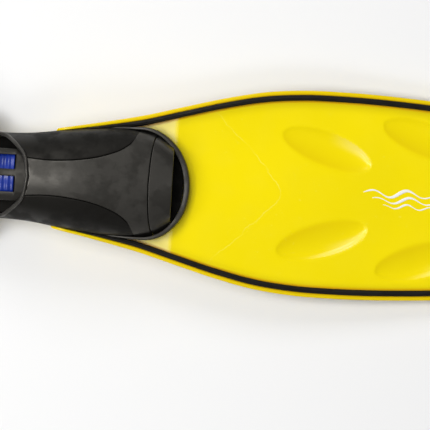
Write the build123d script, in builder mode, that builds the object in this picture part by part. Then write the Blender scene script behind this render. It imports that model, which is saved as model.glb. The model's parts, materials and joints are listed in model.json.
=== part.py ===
from build123d import *

import os
from math import sqrt

# Open-heel swim fin with a dimpled blade, a rubber foot pocket and an adjustable heel strap.
#
# Units are millimetres. The working datum is the front of the toe rim on the fin's centreline, with +X
# towards the blade tip, +Y to the left and +Z up from the floor that the fin lies on. The foot plate
# falls from the toe bend to the heel and the blade falls from it to the tip, so the fin rests on its heel
# and on the tips of its rails. Each piece is moved at export so that the origin is the middle of the
# bounding box, on the floor.

# ---------------------------------------------------------------- blade
BLADE_LENGTH = 372.0  # toe rim to blade tip
BLADE_WIDTH = 221.4  # over the rails at the widest station
BEND_HEIGHT = 38.0  # top of the web above the floor at the toe bend
BEND_SETBACK = 17.0  # toe rim back to the bend line
WEB_AT_BEND = 3.5
WEB_AT_TIP = 2.0
TIP_NOTCH = 9.0  # depth of the hollow in the tip's middle
TIP_SETBACK = 24.0  # tip back to the ends of the rails
TIP_FLAT = 12.0  # rail length that lies flat on the floor
TIP_CORNER = ((5.0, 34.0), (0.0, 62.0))  # rounded corners: back from the tip, in from the widest station
TOE_STATION = -53.0  # where the rails and ribs reach their full thickness
RAIL_WALL = 4.8
RAIL_WALL_REAR = 2.7
RAIL_RISE = 4.5  # rail above the web
RAIL_DEPTH = 6.0  # rail underside below the web's top
RAIL_REACH = 147.0  # toe rim back to the rear end of the rails
RAIL_REAR_GAP = 3.2  # rail's inner face outside the instep's half-width at its rear end
RAIL_BALL_GAP = 7.2  # rail's outer face outside the ball's half-width
RAIL_HEEL_RADIUS = 18.0
RAIL_FADE = 36.0  # length over which the rail sinks into the tip
RIB_WIDTH = 6.0
RIB_WIDTH_REAR = 2.5
RIB_RISE = 7.5
RIB_REACH = 118.0
RIB_TIP_GAP = 10.0  # rib end back from the rail end
RIM_GAP = 2.0  # bare web between toe rim and rib
LOW_RIB_SETBACK = 6.0  # bend line forwards to the rear end of the underside ribs
LOW_RIB_INSET = 1.0  # rib's face above the rail's underside
SKIN_OVERLAP = 1.0  # how far a piece that joins the web runs into it
SCOOP_LENGTH = 98.0
SCOOP_WIDTH = 37.0
SCOOP_DEPTH = 3.6
SCOOP_ANGLE = 18.0
SCOOP_PLACES = ((144.0, 48.0), (251.0, 64.0))  # centres of each pair, x and distance from the middle

# ---------------------------------------------------------------- foot plate and pocket
HEEL_REACH = 245.0  # toe rim back to the end of the foot plate
PLATE = 4.0
HEEL_TREAD = 4.5
BALL_TREAD = 3.0
HEEL_FLAT = 20.0
HEEL_CORNER = 18.0
HEEL_TAPER = 3.0  # narrowing of the foot plate at its rear end, each side
HEEL_LEDGE = 1.0  # foot plate wider than the instep, each side
FLAT_RAMP = 3.0  # length over which the heel flat turns into the sloping tread
TREAD_CORNER = 22.0
HEEL_TREAD_FRONT = -160.0
BALL_TREAD_REAR = -118.0
BALL_TREAD_FRONT = -42.0
GROOVE = 3.0
GROOVE_DEPTH = 2.0
GROOVE_PITCH = 11.0
GROOVE_MARGIN = 6.0  # plain rubber left at each end of a tread
INSTEP_WIDTH = 94.0
INSTEP_HEIGHT = 74.0
INSTEP_REACH = 174.0  # toe rim back to the crown of the instep rim
BALL_WIDTH = INSTEP_WIDTH + 18
RIM_WIDTH = BALL_WIDTH + 8  # over the toe rim
RIM_LENGTH = 50.0  # length of the elliptical nose
RIM_WALL = 7.5
RIM_RISE = 14.0
RIM_REACH = 85.0  # toe rim back to the rear ends of its arms
RIM_STEP = 2.4  # arms outside the ball of the pocket at their rear ends
RIM_REAR_LIFT = 8.0  # arms higher at their rear ends
RIM_SLOT_LIFT = 3.0  # rim higher beside the slot
RIM_NOSE_DROP = 3.0  # rim lower at its nose
RIM_CORNER = 5.0
SLOT_REACH = 20.5  # toe rim back to the front edge of the upper
SHOULDER = 0.35  # share of the height where the side wall turns into the arch
PANEL = 3.0
LINER = 1.5
BEAD = 1.5  # how far the instep rim stands proud of the panels
BEAD_WIDTH = 4.5
BEAD_REACH = 206.0  # toe rim back to the ends of the bead
SEAM = 1.2
INSOLE = 6.0
INSOLE_SETBACK = 4.0
FIT = 0.3

# ---------------------------------------------------------------- instep tongue
TONGUE_WIDTH = 0.5915 * INSTEP_WIDTH
TONGUE_REAR = 240.0
TONGUE_HINGE = 184.0
TONGUE_ROOT = 16.0  # length of the fixed root under the rim
TONGUE_GAP = 1.0  # between the tongue and the liner it swings out from
TONGUE_CORNER = 6.0
TONGUE_END_RADIUS = 12.0
TONGUE = 3.0
TONGUE_PAD = 4.0
TONGUE_PAD_MARGIN = 2.5
TONGUE_BAR = 7.5
WINDOW_COUNT = 2  # rows of windows along the tongue
WINDOW_FRONT = 3.0  # hinge back to the first window
WINDOW_RADIUS = 2.5

# ---------------------------------------------------------------- strap and buckles
POST_X = -222.0
POST_Z = 26.0
POST_RADIUS = 5.0
POST_RUNNING = 0.08
ANCHOR_LENGTH = 30.0
ANCHOR_HEIGHT = 21.0
ANCHOR_PLATE = 3.4
ANCHOR_SINK = 8.0  # how deep the plate's blank starts inside the instep, before the pocket is cut from it
ANCHOR_CORNER = 5.0
RETAINER = 2.0
RETAINER_LIP = 2.5
RETAINER_CHAMFER = 0.6
SCREW_RADIUS = 2.0
SCREW_GRIP = 2.0  # post left solid behind the screw's end
SCREW_HEAD = 8.0
SCREW_HEAD_HEIGHT = 2.4
SCREW_HEAD_ROUND = 1.2
SOCKET_RADIUS = 1.9
SOCKET_DEPTH = 1.4
BUCKLE_BOSS = 9.5
BUCKLE_BOSS_LENGTH = 10.0
CHEEK = 2.5
CHEEK_REAR = 8.0  # roller axis back to the cheeks' rear edge
CHEEK_REAR_TOP = 4.0  # rear corner outside the roller's axis
CHEEK_FRONT_TOP = 5.0  # front corner outside the lever's axis
CHEEK_BREAK = 2.0  # lever axis back to the corner between the two
CHEEK_CORNER = 3.0
STRAP_WIDTH = 20.0
STRAP = 2.5
STRAP_INSET = 1.0  # strap's inner run outside the buckle's inner face
ROLLER_X = -250.0
ROLLER_RADIUS = 4.0
PIN_RADIUS = 1.5
LEVER_BOSS = 3.6
LEVER_WALL = 1.0  # cheek left in front of the lever's boss
LEVER_FORWARD = 1.6  # lever's boss clear of the strap round the roller
LEVER_INSET = 1.8  # lever's axis nearer the fin than its boss resting on the strap would be
LEVER_UNDERSIDE = ((4, 0), (-3, 0), (-6, 1), (-14, 2.4), (-15, 5))  # from the roller's axis and the strap
LEVER_HEEL = 6.0  # roller axis back to the corner of the lever's outer face
LEVER_EDGE = 0.8
STRAIGHT_LEG = 22.0  # roller axis back to the start of the bow
HEEL_BOW = 42.0  # how far the strap bows out behind its straight legs
KNEE_SETBACK = 4.0  # start of the bow back to where the strap begins to grow taller
KNEE_LENGTH = 22.0
KNEE_RADIUS = 10.0
HEEL_TALL = 42.0
HEEL_PAD = 4.0
HEEL_PAD_SETBACK = 6.0
HEEL_PAD_INSET = 1.5
STRAP_TAIL = 292.0  # toe rim back to the free end of the strap's tail
KEEPER = 1.8
KEEPER_LENGTH = 4.6
KEEPER_SETBACK = 17.5
KEEPER_CORNER = 2.4
TAB_LENGTH = 26.0
TAB_WIDTH = 30.0
TAB_WALL = 5.0
TAB_HEIGHT = 9.0
TAB_CORNER = 10.0
TAB_OVERLAP = 2.0  # tab started inside the strap, which is then cut from it

# ---------------------------------------------------------------- cutting shapes
HIGH = 160.0  # above every piece
WIDE = 200.0  # outside every piece
DEEP = -9.0  # below every piece
MARGIN = 5.0  # how far a cutting shape runs past what it cuts

# ---------------------------------------------------------------- values worked out from the sizes
BEND_X = -BEND_SETBACK
RAIL_FRONT = BLADE_LENGTH - TIP_SETBACK
BLADE_SLOPE = (BEND_HEIGHT - RAIL_DEPTH) / (RAIL_FRONT - TIP_FLAT - BEND_X)
HEEL_STACK = PLATE + HEEL_TREAD
SOLE_SLOPE = (BEND_HEIGHT - HEEL_STACK) / (HEEL_REACH + BEND_X)
INSTEP_HALF = INSTEP_WIDTH / 2
BALL_HALF = BALL_WIDTH / 2
RIM_HALF = RIM_WIDTH / 2
WIDEST = BLADE_WIDTH / 2


def blade_top(x):
    """Height of the blade's upper face; the line runs on behind the bend as the rails' datum."""
    return BEND_HEIGHT - (x - BEND_X) * BLADE_SLOPE


def sole_top(x):
    """Height of the foot plate's upper face."""
    return BEND_HEIGHT + (x - BEND_X) * SOLE_SLOPE


def inner_nose(x):
    """Half-width inside the toe rim's elliptical nose."""
    return (RIM_HALF - RIM_WALL) * sqrt(1 - ((x + RIM_LENGTH) / (RIM_LENGTH - RIM_WALL)) ** 2)


# Stations of the foot pocket's outer face: x, half-width, height over the foot plate.
POCKET = (
    (-HEEL_REACH - 5, INSTEP_HALF - 1, INSTEP_HEIGHT + 2),
    (-INSTEP_REACH, INSTEP_HALF, INSTEP_HEIGHT),
    (-118, BALL_HALF - 1.5, 66),
    (-75, BALL_HALF, 54),
    (-RIM_LENGTH, inner_nose(-RIM_LENGTH) - FIT, 46),
    (-SLOT_REACH, inner_nose(-SLOT_REACH) - FIT, 36),
)

# The opening's edge seen from the side, from the crown of the instep down to the end of the wing.
CROWN = (-INSTEP_REACH, sole_top(-INSTEP_REACH) + INSTEP_HEIGHT)
OPENING = ((0, 3), (-5, -7), (-12, -15), (-18, -24), (-26, -38), (-40, -49), (-64, -57))

# The blade's edge from the rear end of the rail to the tip: x and half-width. From the toe station on
# the half-width grows by shares of the flare.
rail_rear_half = INSTEP_HALF + RAIL_REAR_GAP + RAIL_WALL_REAR
toe_station_half = RIM_HALF + RIM_GAP + RIB_WIDTH + RAIL_WALL
flare = WIDEST - toe_station_half
EDGE = (
    (-RAIL_REACH, rail_rear_half),
    (-96, BALL_HALF + RAIL_BALL_GAP),
    (TOE_STATION, toe_station_half),
    (-11, toe_station_half + 0.31 * flare),
    (0.086 * BLADE_LENGTH, toe_station_half + 0.62 * flare),
    (0.2 * BLADE_LENGTH, toe_station_half + 0.863 * flare),
    (0.317 * BLADE_LENGTH, toe_station_half + 0.98 * flare),
    (0.43 * BLADE_LENGTH, WIDEST),
    (0.605 * BLADE_LENGTH, WIDEST - 2),
    (0.806 * BLADE_LENGTH, WIDEST - 8),
    (RAIL_FRONT, WIDEST - 15),
)


def thinned(x, full, rear, reach):
    """A thickness that grows from its rear end to the toe station and stays full from there."""
    return full - (full - rear) * min(1, max(0, (TOE_STATION - x) / (TOE_STATION + reach)))


def rail_wall(x):
    """Thickness of the rail."""
    return thinned(x, RAIL_WALL, RAIL_WALL_REAR, RAIL_REACH)


def rib_width(x):
    """Thickness of the rib."""
    return thinned(x, RIB_WIDTH, RIB_WIDTH_REAR, RIB_REACH)


RAIL_INNER = tuple((x, y - rail_wall(x)) for x, y in EDGE)
RIB_INNER = tuple((x, y - rail_wall(x) - rib_width(x)) for x, y in EDGE)


def strip(outer, inner):
    """A face in plan between two curves that start and end at the same stations."""
    with BuildSketch() as plan:
        with BuildLine():
            Spline(outer)
            Line(outer[-1], inner[-1])
            Spline(inner)
            Line(inner[0], outer[0])
        make_face()
    return plan.sketch


def side_profile(points, round_at=None, radius=0):
    """A face seen from the side, with the corners nearest round_at rounded."""
    with BuildSketch(Plane.XZ) as profile:
        with BuildLine():
            Polyline(*points, close=True)
        make_face()
        for corner in round_at or ():
            nearest = min(profile.vertices(), key=lambda v: (Vector(v) - Vector(corner)).length)
            fillet(nearest, radius)
    return profile.sketch


def plan_by_profile(plan, profile):
    """The solid that has one outline from above and another from the side."""
    with BuildPart() as body:
        extrude(plan, amount=HIGH)
        extrude(profile, amount=WIDE, both=True, mode=Mode.INTERSECT)
    return body.part


def pocket_body(grow):
    """The foot pocket's arched tunnel as a solid, grown outwards by a distance."""
    with BuildPart() as body:
        for x, half, height in POCKET:
            floor = sole_top(x)
            shoulder = floor + SHOULDER * height
            side = half + grow
            with BuildSketch(Plane.YZ.offset(x)):
                with BuildLine():
                    Line((side, floor), (side, shoulder))
                    EllipticalCenterArc((0, shoulder), side, (1 - SHOULDER) * height + grow, start_angle=0,
                                         arc_size=180)
                    Line((-side, shoulder), (-side, floor))
                    Line((-side, floor), (side, floor))
                make_face()
        loft()
    return body.part


OUTER = pocket_body(0)
UNDER_PANELS = pocket_body(-PANEL)
CAVITY = pocket_body(-PANEL - LINER)

pieces = []


def keep(part, label):
    """Names a finished piece and puts it on the list of pieces to write."""
    part.label = label
    pieces.append(part)
    return part


def both_sides(part, stem):
    """A left-hand piece and its mirror image."""
    keep(part, stem + "_left")
    keep(mirror(part, about=Plane.XZ, mode=Mode.PRIVATE), stem + "_right")


# ---------------------------------------------------------------- blade with foot plate and rails
def web_outline():
    """Plan of the foot plate and the blade between the rails, with its tip."""
    notch = BLADE_LENGTH - TIP_NOTCH
    corner = [(BLADE_LENGTH - back, WIDEST - inward) for back, inward in TIP_CORNER]
    with BuildSketch() as plan:
        with BuildLine():
            Spline(EDGE)
            Spline(EDGE[-1], *corner, (notch, 0), tangents=((1, -0.3), (0, -1)))
            Line((notch, 0), (-RAIL_REACH, 0))
            Line((-RAIL_REACH, 0), EDGE[0])
        make_face()
        mirror(about=Plane.XZ)
        plate_half = INSTEP_HALF + HEEL_LEDGE
        heel_half = plate_half - HEEL_TAPER
        plate_front = SKIN_OVERLAP - RAIL_REACH
        with BuildLine():
            Polyline((-HEEL_REACH, heel_half), (plate_front, plate_half), (plate_front, -plate_half),
                     (-HEEL_REACH, -heel_half), close=True)
        make_face()
        fillet(plan.vertices().group_by(Axis.X)[0], HEEL_CORNER)
    return plan.sketch


web_profile = side_profile((
    (-HEEL_REACH, sole_top(-HEEL_REACH)), (BEND_X, BEND_HEIGHT), (BLADE_LENGTH, blade_top(BLADE_LENGTH)),
    (BLADE_LENGTH, blade_top(BLADE_LENGTH) - WEB_AT_TIP), (BEND_X, BEND_HEIGHT - WEB_AT_BEND),
    (-HEEL_REACH, sole_top(-HEEL_REACH) - PLATE)))
rail_crest = blade_top(-RAIL_REACH) + RAIL_RISE
fade_start = RAIL_FRONT - RAIL_FADE
rail_profile = side_profile((
    (-RAIL_REACH, sole_top(-RAIL_REACH) - PLATE), (-RAIL_REACH, rail_crest),
    (fade_start, blade_top(fade_start) + RAIL_RISE), (RAIL_FRONT, blade_top(RAIL_FRONT)), (RAIL_FRONT, 0),
    (RAIL_FRONT - TIP_FLAT, 0), (BEND_X, BEND_HEIGHT - RAIL_DEPTH)),
    round_at=((-RAIL_REACH, rail_crest),), radius=RAIL_HEEL_RADIUS)
WEB = plan_by_profile(web_outline(), web_profile)
with BuildPart() as rail:
    add(plan_by_profile(strip(EDGE, RAIL_INNER), rail_profile))
    add(OUTER, mode=Mode.SUBTRACT)


def scoop_tool(x, y, turn, sink):
    """A barrel whose lowest line lies sink below the blade's upper face, for pressing one scoop."""
    belly = (SCOOP_WIDTH / 2) ** 2 / (2 * SCOOP_DEPTH) + SCOOP_DEPTH / 2
    chord = SCOOP_LENGTH / 2 * sqrt(1 + (sink - SCOOP_DEPTH) / SCOOP_DEPTH)
    with BuildPart() as barrel:
        with BuildSketch(Plane.XZ):
            with BuildLine():
                ThreePointArc((-chord, -(belly - sink)), (0, -belly), (chord, -(belly - sink)))
                Polyline((chord, -(belly - sink)), (chord, 0), (-chord, 0), (-chord, -(belly - sink)))
            make_face()
        revolve(axis=Axis.X)
    tilt = Plane((x, y, blade_top(x) + belly - sink), x_dir=(1, 0, -BLADE_SLOPE),
                 z_dir=(BLADE_SLOPE, 0, 1))
    return barrel.part.moved(Location(tilt) * Location((0, 0, 0), (0, 0, turn)))


scoops = [(x, side * y, -side * SCOOP_ANGLE) for x, y in SCOOP_PLACES for side in (1, -1)]
under_skin = side_profile((
    (0, blade_top(0) - SKIN_OVERLAP), (BLADE_LENGTH, blade_top(BLADE_LENGTH) - SKIN_OVERLAP),
    (BLADE_LENGTH, DEEP), (0, DEEP)))
with BuildPart() as bulges:
    for x, y, turn in scoops:
        add(scoop_tool(x, y, turn, SCOOP_DEPTH + WEB_AT_TIP))
    extrude(under_skin, amount=WIDE, both=True, mode=Mode.INTERSECT)
with BuildPart() as blade:
    add(WEB)
    add(bulges.part)
    for x, y, turn in scoops:
        add(scoop_tool(x, y, turn, SCOOP_DEPTH), mode=Mode.SUBTRACT)
    add(rail.part)
    mirror(rail.part, about=Plane.XZ)
keep(blade.part, "blade")

# ---------------------------------------------------------------- toe rim
rim_rear = -RIM_REACH
rim_rear_half = BALL_HALF + RIM_STEP
with BuildSketch() as rim_plan:
    with BuildLine():
        EllipticalCenterArc((-RIM_LENGTH, 0), RIM_LENGTH, RIM_HALF, start_angle=0, arc_size=90)
        Spline((-RIM_LENGTH, RIM_HALF), (rim_rear, rim_rear_half), tangents=((-1, 0), (-1, -0.1)))
        Polyline((rim_rear, rim_rear_half), (rim_rear, 0), (0, 0))
    make_face()
    with BuildLine():
        EllipticalCenterArc((-RIM_LENGTH, 0), RIM_LENGTH - RIM_WALL, RIM_HALF - RIM_WALL, start_angle=0,
                            arc_size=90)
        Polyline((-RIM_LENGTH, RIM_HALF - RIM_WALL), (rim_rear, RIM_HALF - RIM_WALL), (rim_rear, 0),
                 (-RIM_WALL, 0))
    make_face(mode=Mode.SUBTRACT)
    mirror(about=Plane.XZ)
rim_nose = (1, blade_top(0) + RIM_RISE - RIM_NOSE_DROP)
rim_heel = (rim_rear, sole_top(rim_rear) + RIM_RISE + RIM_REAR_LIFT)
rim_profile = side_profile((
    (rim_rear, sole_top(rim_rear) - SKIN_OVERLAP), rim_heel,
    (-SLOT_REACH, sole_top(-SLOT_REACH) + RIM_RISE + RIM_SLOT_LIFT), rim_nose,
    (1, blade_top(0) - SKIN_OVERLAP), (BEND_X, BEND_HEIGHT - SKIN_OVERLAP)),
    round_at=(rim_nose, rim_heel), radius=RIM_CORNER)
with BuildPart() as toe_rim:
    add(plan_by_profile(rim_plan.sketch, rim_profile))
    add(WEB, mode=Mode.SUBTRACT)
    add(OUTER, mode=Mode.SUBTRACT)
keep(toe_rim.part, "toe_rim")

# ---------------------------------------------------------------- rubber ribs beside the rails
rib_start = -RIB_REACH
rib_end = RAIL_FRONT - RIB_TIP_GAP
rib_crest = blade_top(rib_start) + RIB_RISE
rib_fade_start = rib_end - RAIL_FADE
top_rib_profile = side_profile((
    (rib_start, sole_top(rib_start)), (rib_start, rib_crest),
    (rib_fade_start, blade_top(rib_fade_start) + RIB_RISE), (rib_end, blade_top(rib_end) + 1),
    (rib_end, blade_top(rib_end)), (BEND_X, BEND_HEIGHT)),
    round_at=((rib_start, rib_crest),), radius=RIB_RISE)
with BuildPart() as rib:
    add(plan_by_profile(strip(RAIL_INNER, RIB_INNER), top_rib_profile))
    add(OUTER, mode=Mode.SUBTRACT)
    add(toe_rim.part, mode=Mode.SUBTRACT)
both_sides(rib.part, "rib_top")

under_start = BEND_X + LOW_RIB_SETBACK
under_end = RAIL_FRONT - TIP_FLAT
low_rib_depth = RAIL_DEPTH - LOW_RIB_INSET
low_rib_profile = side_profile((
    (under_start, blade_top(under_start) - SKIN_OVERLAP), (under_end, blade_top(under_end) - SKIN_OVERLAP),
    (under_end, blade_top(under_end) - low_rib_depth),
    (under_start, blade_top(under_start) - low_rib_depth)))
with BuildPart() as low_rib:
    add(plan_by_profile(strip(RAIL_INNER, RIB_INNER), low_rib_profile))
    add(WEB, mode=Mode.SUBTRACT)
both_sides(low_rib.part, "rib_bottom")

# ---------------------------------------------------------------- foot pocket shells
def behind_opening(advance):
    """Side view of what lies in front of the opening's edge, moved forwards by a distance."""
    edge = [(CROWN[0] + dx + advance, CROWN[1] + dz) for dx, dz in OPENING]
    low = sole_top(-HEEL_REACH) - MARGIN
    with BuildSketch(Plane.XZ) as profile:
        with BuildLine():
            Spline(edge)
            Polyline(edge[-1], (edge[-1][0], low), (MARGIN, low), (MARGIN, HIGH), (edge[0][0], HIGH),
                     edge[0])
        make_face()
    return profile.sketch


with BuildPart() as liner:
    add(UNDER_PANELS)
    add(CAVITY, mode=Mode.SUBTRACT)
    extrude(behind_opening(0), amount=WIDE, both=True, mode=Mode.INTERSECT)
keep(liner.part, "pocket_liner")

with BuildPart() as instep_rim:
    add(pocket_body(BEAD))
    add(UNDER_PANELS, mode=Mode.SUBTRACT)
    extrude(behind_opening(0), amount=WIDE, both=True, mode=Mode.INTERSECT)
    extrude(behind_opening(BEAD_WIDTH), amount=WIDE, both=True, mode=Mode.SUBTRACT)
    rear_wing = side_profile((
        (-HEEL_REACH, DEEP), (-HEEL_REACH, HIGH), (-BEAD_REACH, HIGH), (-BEAD_REACH, DEEP)))
    extrude(rear_wing, amount=WIDE, both=True, mode=Mode.SUBTRACT)
instep_bead = instep_rim.part

# Seams between the panels as seen from above: one along each side and one across the toes.
SIDE_SEAM = ((-200, 20), (-150, 19), (-118, 21.5), (-90, 28), (-72, 36), (-62, 44.5), (-57, 66))
TOE_SEAM = ((-44, 0), (-42.5, 21), (-38, 40), (-33, 66))
with BuildSketch() as seams:
    with BuildLine():
        Spline(SIDE_SEAM)
    trace(line_width=SEAM)
    with BuildLine():
        Spline(TOE_SEAM, tangents=((0, 1), (0.3, 1)))
    trace(line_width=SEAM)
    mirror(about=Plane.XZ)
with BuildPart() as panels:
    add(OUTER)
    add(UNDER_PANELS, mode=Mode.SUBTRACT)
    extrude(behind_opening(0), amount=WIDE, both=True, mode=Mode.INTERSECT)
    add(instep_bead, mode=Mode.SUBTRACT)
    extrude(seams.sketch, amount=HIGH, mode=Mode.SUBTRACT)
side_right, *middle_panels, side_left = panels.solids().sort_by(Axis.Y)
instep_panel, toe_band = ShapeList(middle_panels).sort_by(Axis.X)
keep(Part(instep_panel.wrapped), "instep_panel")
keep(Part(side_left.wrapped), "side_panel_left")
keep(Part(side_right.wrapped), "side_panel_right")
keep(Part(toe_band.wrapped), "toe_band")
keep(instep_bead, "instep_rim")

# ---------------------------------------------------------------- insole and treads
with BuildSketch() as nose_plan:
    with BuildLine():
        EllipticalCenterArc((-RIM_LENGTH, 0), RIM_LENGTH - RIM_WALL, RIM_HALF - RIM_WALL, start_angle=-90,
                            arc_size=180)
        Line((-RIM_LENGTH, RIM_HALF - RIM_WALL), (-RIM_LENGTH, RIM_WALL - RIM_HALF))
    make_face()
    with Locations((-SLOT_REACH, 0)):
        Rectangle(2 * RIM_LENGTH, 2 * RIM_HALF, align=(Align.MAX, Align.CENTER), mode=Mode.SUBTRACT)
insole_rear = INSOLE_SETBACK - HEEL_REACH
insole_profile = side_profile((
    (insole_rear, sole_top(insole_rear)), (insole_rear, sole_top(insole_rear) + INSOLE),
    (BEND_X, BEND_HEIGHT + INSOLE), (0, blade_top(0) + INSOLE), (0, blade_top(0)), (BEND_X, BEND_HEIGHT)))
with BuildPart() as insole:
    add(CAVITY)
    extrude(nose_plan.sketch, amount=HIGH)
    extrude(insole_profile, amount=WIDE, both=True, mode=Mode.INTERSECT)
keep(insole.part, "insole")


def tread(x_rear, x_front, half, depth, flat):
    """An outsole pad under the foot plate, cut by grooves, with a flat to stand on at its rear."""
    plate_rear = sole_top(x_rear) - PLATE
    plate_front = sole_top(x_front) - PLATE
    points = [(x_rear, plate_rear), (x_front, plate_front), (x_front, plate_front - depth)]
    if flat:
        ramp = x_rear + flat + FLAT_RAMP
        points += [(ramp, sole_top(ramp) - PLATE - depth), (x_rear + flat, 0), (x_rear, 0)]
    else:
        points += [(x_rear, plate_rear - depth)]
    with BuildSketch() as plan:
        with Locations(((x_rear + x_front) / 2, 0)):
            RectangleRounded(x_front - x_rear, 2 * half, min(TREAD_CORNER, half / 2))
    with BuildPart() as pad:
        add(plan_by_profile(plan.sketch, side_profile(points)))
        grooves = int((x_front - x_rear - 2 * GROOVE_MARGIN) / GROOVE_PITCH)
        for count in range(grooves):
            x = x_front - GROOVE_MARGIN - (count + 0.5) * GROOVE_PITCH
            if flat and x < x_rear + flat + GROOVE_PITCH:
                continue
            bottom = sole_top(x) - PLATE - depth
            with BuildSketch(Plane.XZ):
                with Locations((x, bottom + GROOVE_DEPTH)):
                    Rectangle(GROOVE, GROOVE, align=(Align.CENTER, Align.MAX))
            extrude(amount=WIDE, both=True, mode=Mode.SUBTRACT)
    return pad.part


HEEL_TREAD_REAR = 2 - HEEL_REACH
keep(tread(HEEL_TREAD_REAR, HEEL_TREAD_FRONT, INSTEP_HALF - 5, HEEL_TREAD, HEEL_FLAT), "outsole_heel")
keep(tread(BALL_TREAD_REAR, BALL_TREAD_FRONT, BALL_HALF - 14, BALL_TREAD, 0), "outsole_ball")

# ---------------------------------------------------------------- instep tongue and its pad
tongue_front = -TONGUE_HINGE - FIT
tongue_length = TONGUE_REAR + tongue_front
window_width = (TONGUE_WIDTH - 3 * TONGUE_BAR) / 2
window_pitch = (tongue_length - WINDOW_FRONT) / WINDOW_COUNT
TONGUE_SKIN = pocket_body(-PANEL - LINER - TONGUE_GAP)
TONGUE_UNDER = pocket_body(-PANEL - LINER - TONGUE_GAP - TONGUE)
PAD_UNDER = pocket_body(-PANEL - LINER - TONGUE_GAP - TONGUE - TONGUE_PAD)

with BuildPart() as tongue_root:
    add(CAVITY)
    add(TONGUE_UNDER, mode=Mode.SUBTRACT)
    with BuildSketch():
        with Locations((-TONGUE_HINGE, 0)):
            Rectangle(TONGUE_ROOT, TONGUE_WIDTH, align=(Align.MIN, Align.CENTER))
    extrude(amount=HIGH, mode=Mode.INTERSECT)
    with BuildSketch(Plane.XY.offset(sole_top(-INSTEP_REACH) + INSTEP_HEIGHT / 2)):
        Rectangle(2 * HEEL_REACH, WIDE)
    extrude(amount=HIGH, mode=Mode.INTERSECT)
keep(tongue_root.part, "tongue_root")

with BuildSketch() as ladder:
    with Locations((tongue_front, 0)):
        Rectangle(tongue_length, TONGUE_WIDTH, align=(Align.MAX, Align.CENTER))
    fillet(ladder.vertices().group_by(Axis.X)[0], TONGUE_END_RADIUS)
    fillet(ladder.vertices().group_by(Axis.X)[-1], TONGUE_CORNER)
    for row in range(WINDOW_COUNT):
        x = tongue_front - WINDOW_FRONT - row * window_pitch - (window_pitch - TONGUE_BAR) / 2
        for side in (1, -1):
            with Locations((x, side * (TONGUE_BAR + window_width) / 2)):
                RectangleRounded(window_pitch - TONGUE_BAR, window_width, WINDOW_RADIUS, mode=Mode.SUBTRACT)
with BuildPart() as tongue:
    add(TONGUE_SKIN)
    add(TONGUE_UNDER, mode=Mode.SUBTRACT)
    extrude(ladder.sketch, amount=HIGH, mode=Mode.INTERSECT)
keep(tongue.part, "tongue")

with BuildPart() as instep_pad:
    add(TONGUE_UNDER)
    add(PAD_UNDER, mode=Mode.SUBTRACT)
    with BuildSketch():
        with Locations((tongue_front - TONGUE_PAD_MARGIN, 0)):
            Rectangle(tongue_length - 2 * TONGUE_PAD_MARGIN, TONGUE_WIDTH - 2 * TONGUE_PAD_MARGIN,
                      align=(Align.MAX, Align.CENTER))
    extrude(amount=HIGH, mode=Mode.INTERSECT)
keep(instep_pad.part, "instep_pad")

# ---------------------------------------------------------------- heel strap, buckles and their anchors
anchor_face = INSTEP_HALF + ANCHOR_PLATE
boss_start = anchor_face + FIT
boss_end = boss_start + BUCKLE_BOSS_LENGTH
roller_y = boss_start + STRAP_INSET + STRAP + FIT + ROLLER_RADIUS
inner_run = roller_y - ROLLER_RADIUS - FIT - STRAP
outer_run = roller_y + ROLLER_RADIUS + FIT
cheek_inside = STRAP_WIDTH / 2 + FIT
cheek_outside = cheek_inside + CHEEK
lever_x = ROLLER_X + ROLLER_RADIUS + FIT + STRAP + LEVER_BOSS + LEVER_FORWARD
lever_y = outer_run + STRAP + LEVER_BOSS - LEVER_INSET


def at_side(y):
    """The sketch plane that faces left at a distance from the fin's middle; local y is height."""
    return Plane(origin=(0, y, 0), x_dir=(-1, 0, 0), z_dir=(0, 1, 0))


with BuildPart() as anchor:
    with BuildSketch(at_side(INSTEP_HALF - ANCHOR_SINK)):
        with Locations((-POST_X, POST_Z)):
            RectangleRounded(ANCHOR_LENGTH, ANCHOR_HEIGHT, ANCHOR_CORNER)
    extrude(amount=ANCHOR_PLATE + ANCHOR_SINK)
    add(OUTER, mode=Mode.SUBTRACT)
    with BuildSketch(at_side(anchor_face - SKIN_OVERLAP)):
        with Locations((-POST_X, POST_Z)):
            Circle(POST_RADIUS)
    extrude(amount=SKIN_OVERLAP + FIT + BUCKLE_BOSS_LENGTH + FIT)
    with BuildSketch(at_side(anchor_face)):
        with Locations((-POST_X, POST_Z)):
            Circle(SCREW_RADIUS)
    extrude(amount=FIT + BUCKLE_BOSS_LENGTH + FIT, mode=Mode.SUBTRACT)
both_sides(anchor.part, "strap_anchor")

post_end = boss_end + FIT
cap_face = post_end + RETAINER
with BuildPart() as retainer:
    with BuildSketch(at_side(post_end)):
        with Locations((-POST_X, POST_Z)):
            Circle(POST_RADIUS + RETAINER_LIP)
            Circle(SCREW_RADIUS, mode=Mode.SUBTRACT)
    extrude(amount=RETAINER)
    outer_edges = retainer.edges().filter_by(GeomType.CIRCLE).group_by(Axis.Y)[-1]
    chamfer(outer_edges.sort_by(SortBy.RADIUS)[-1], RETAINER_CHAMFER)
both_sides(retainer.part, "post_retainer")

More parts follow.
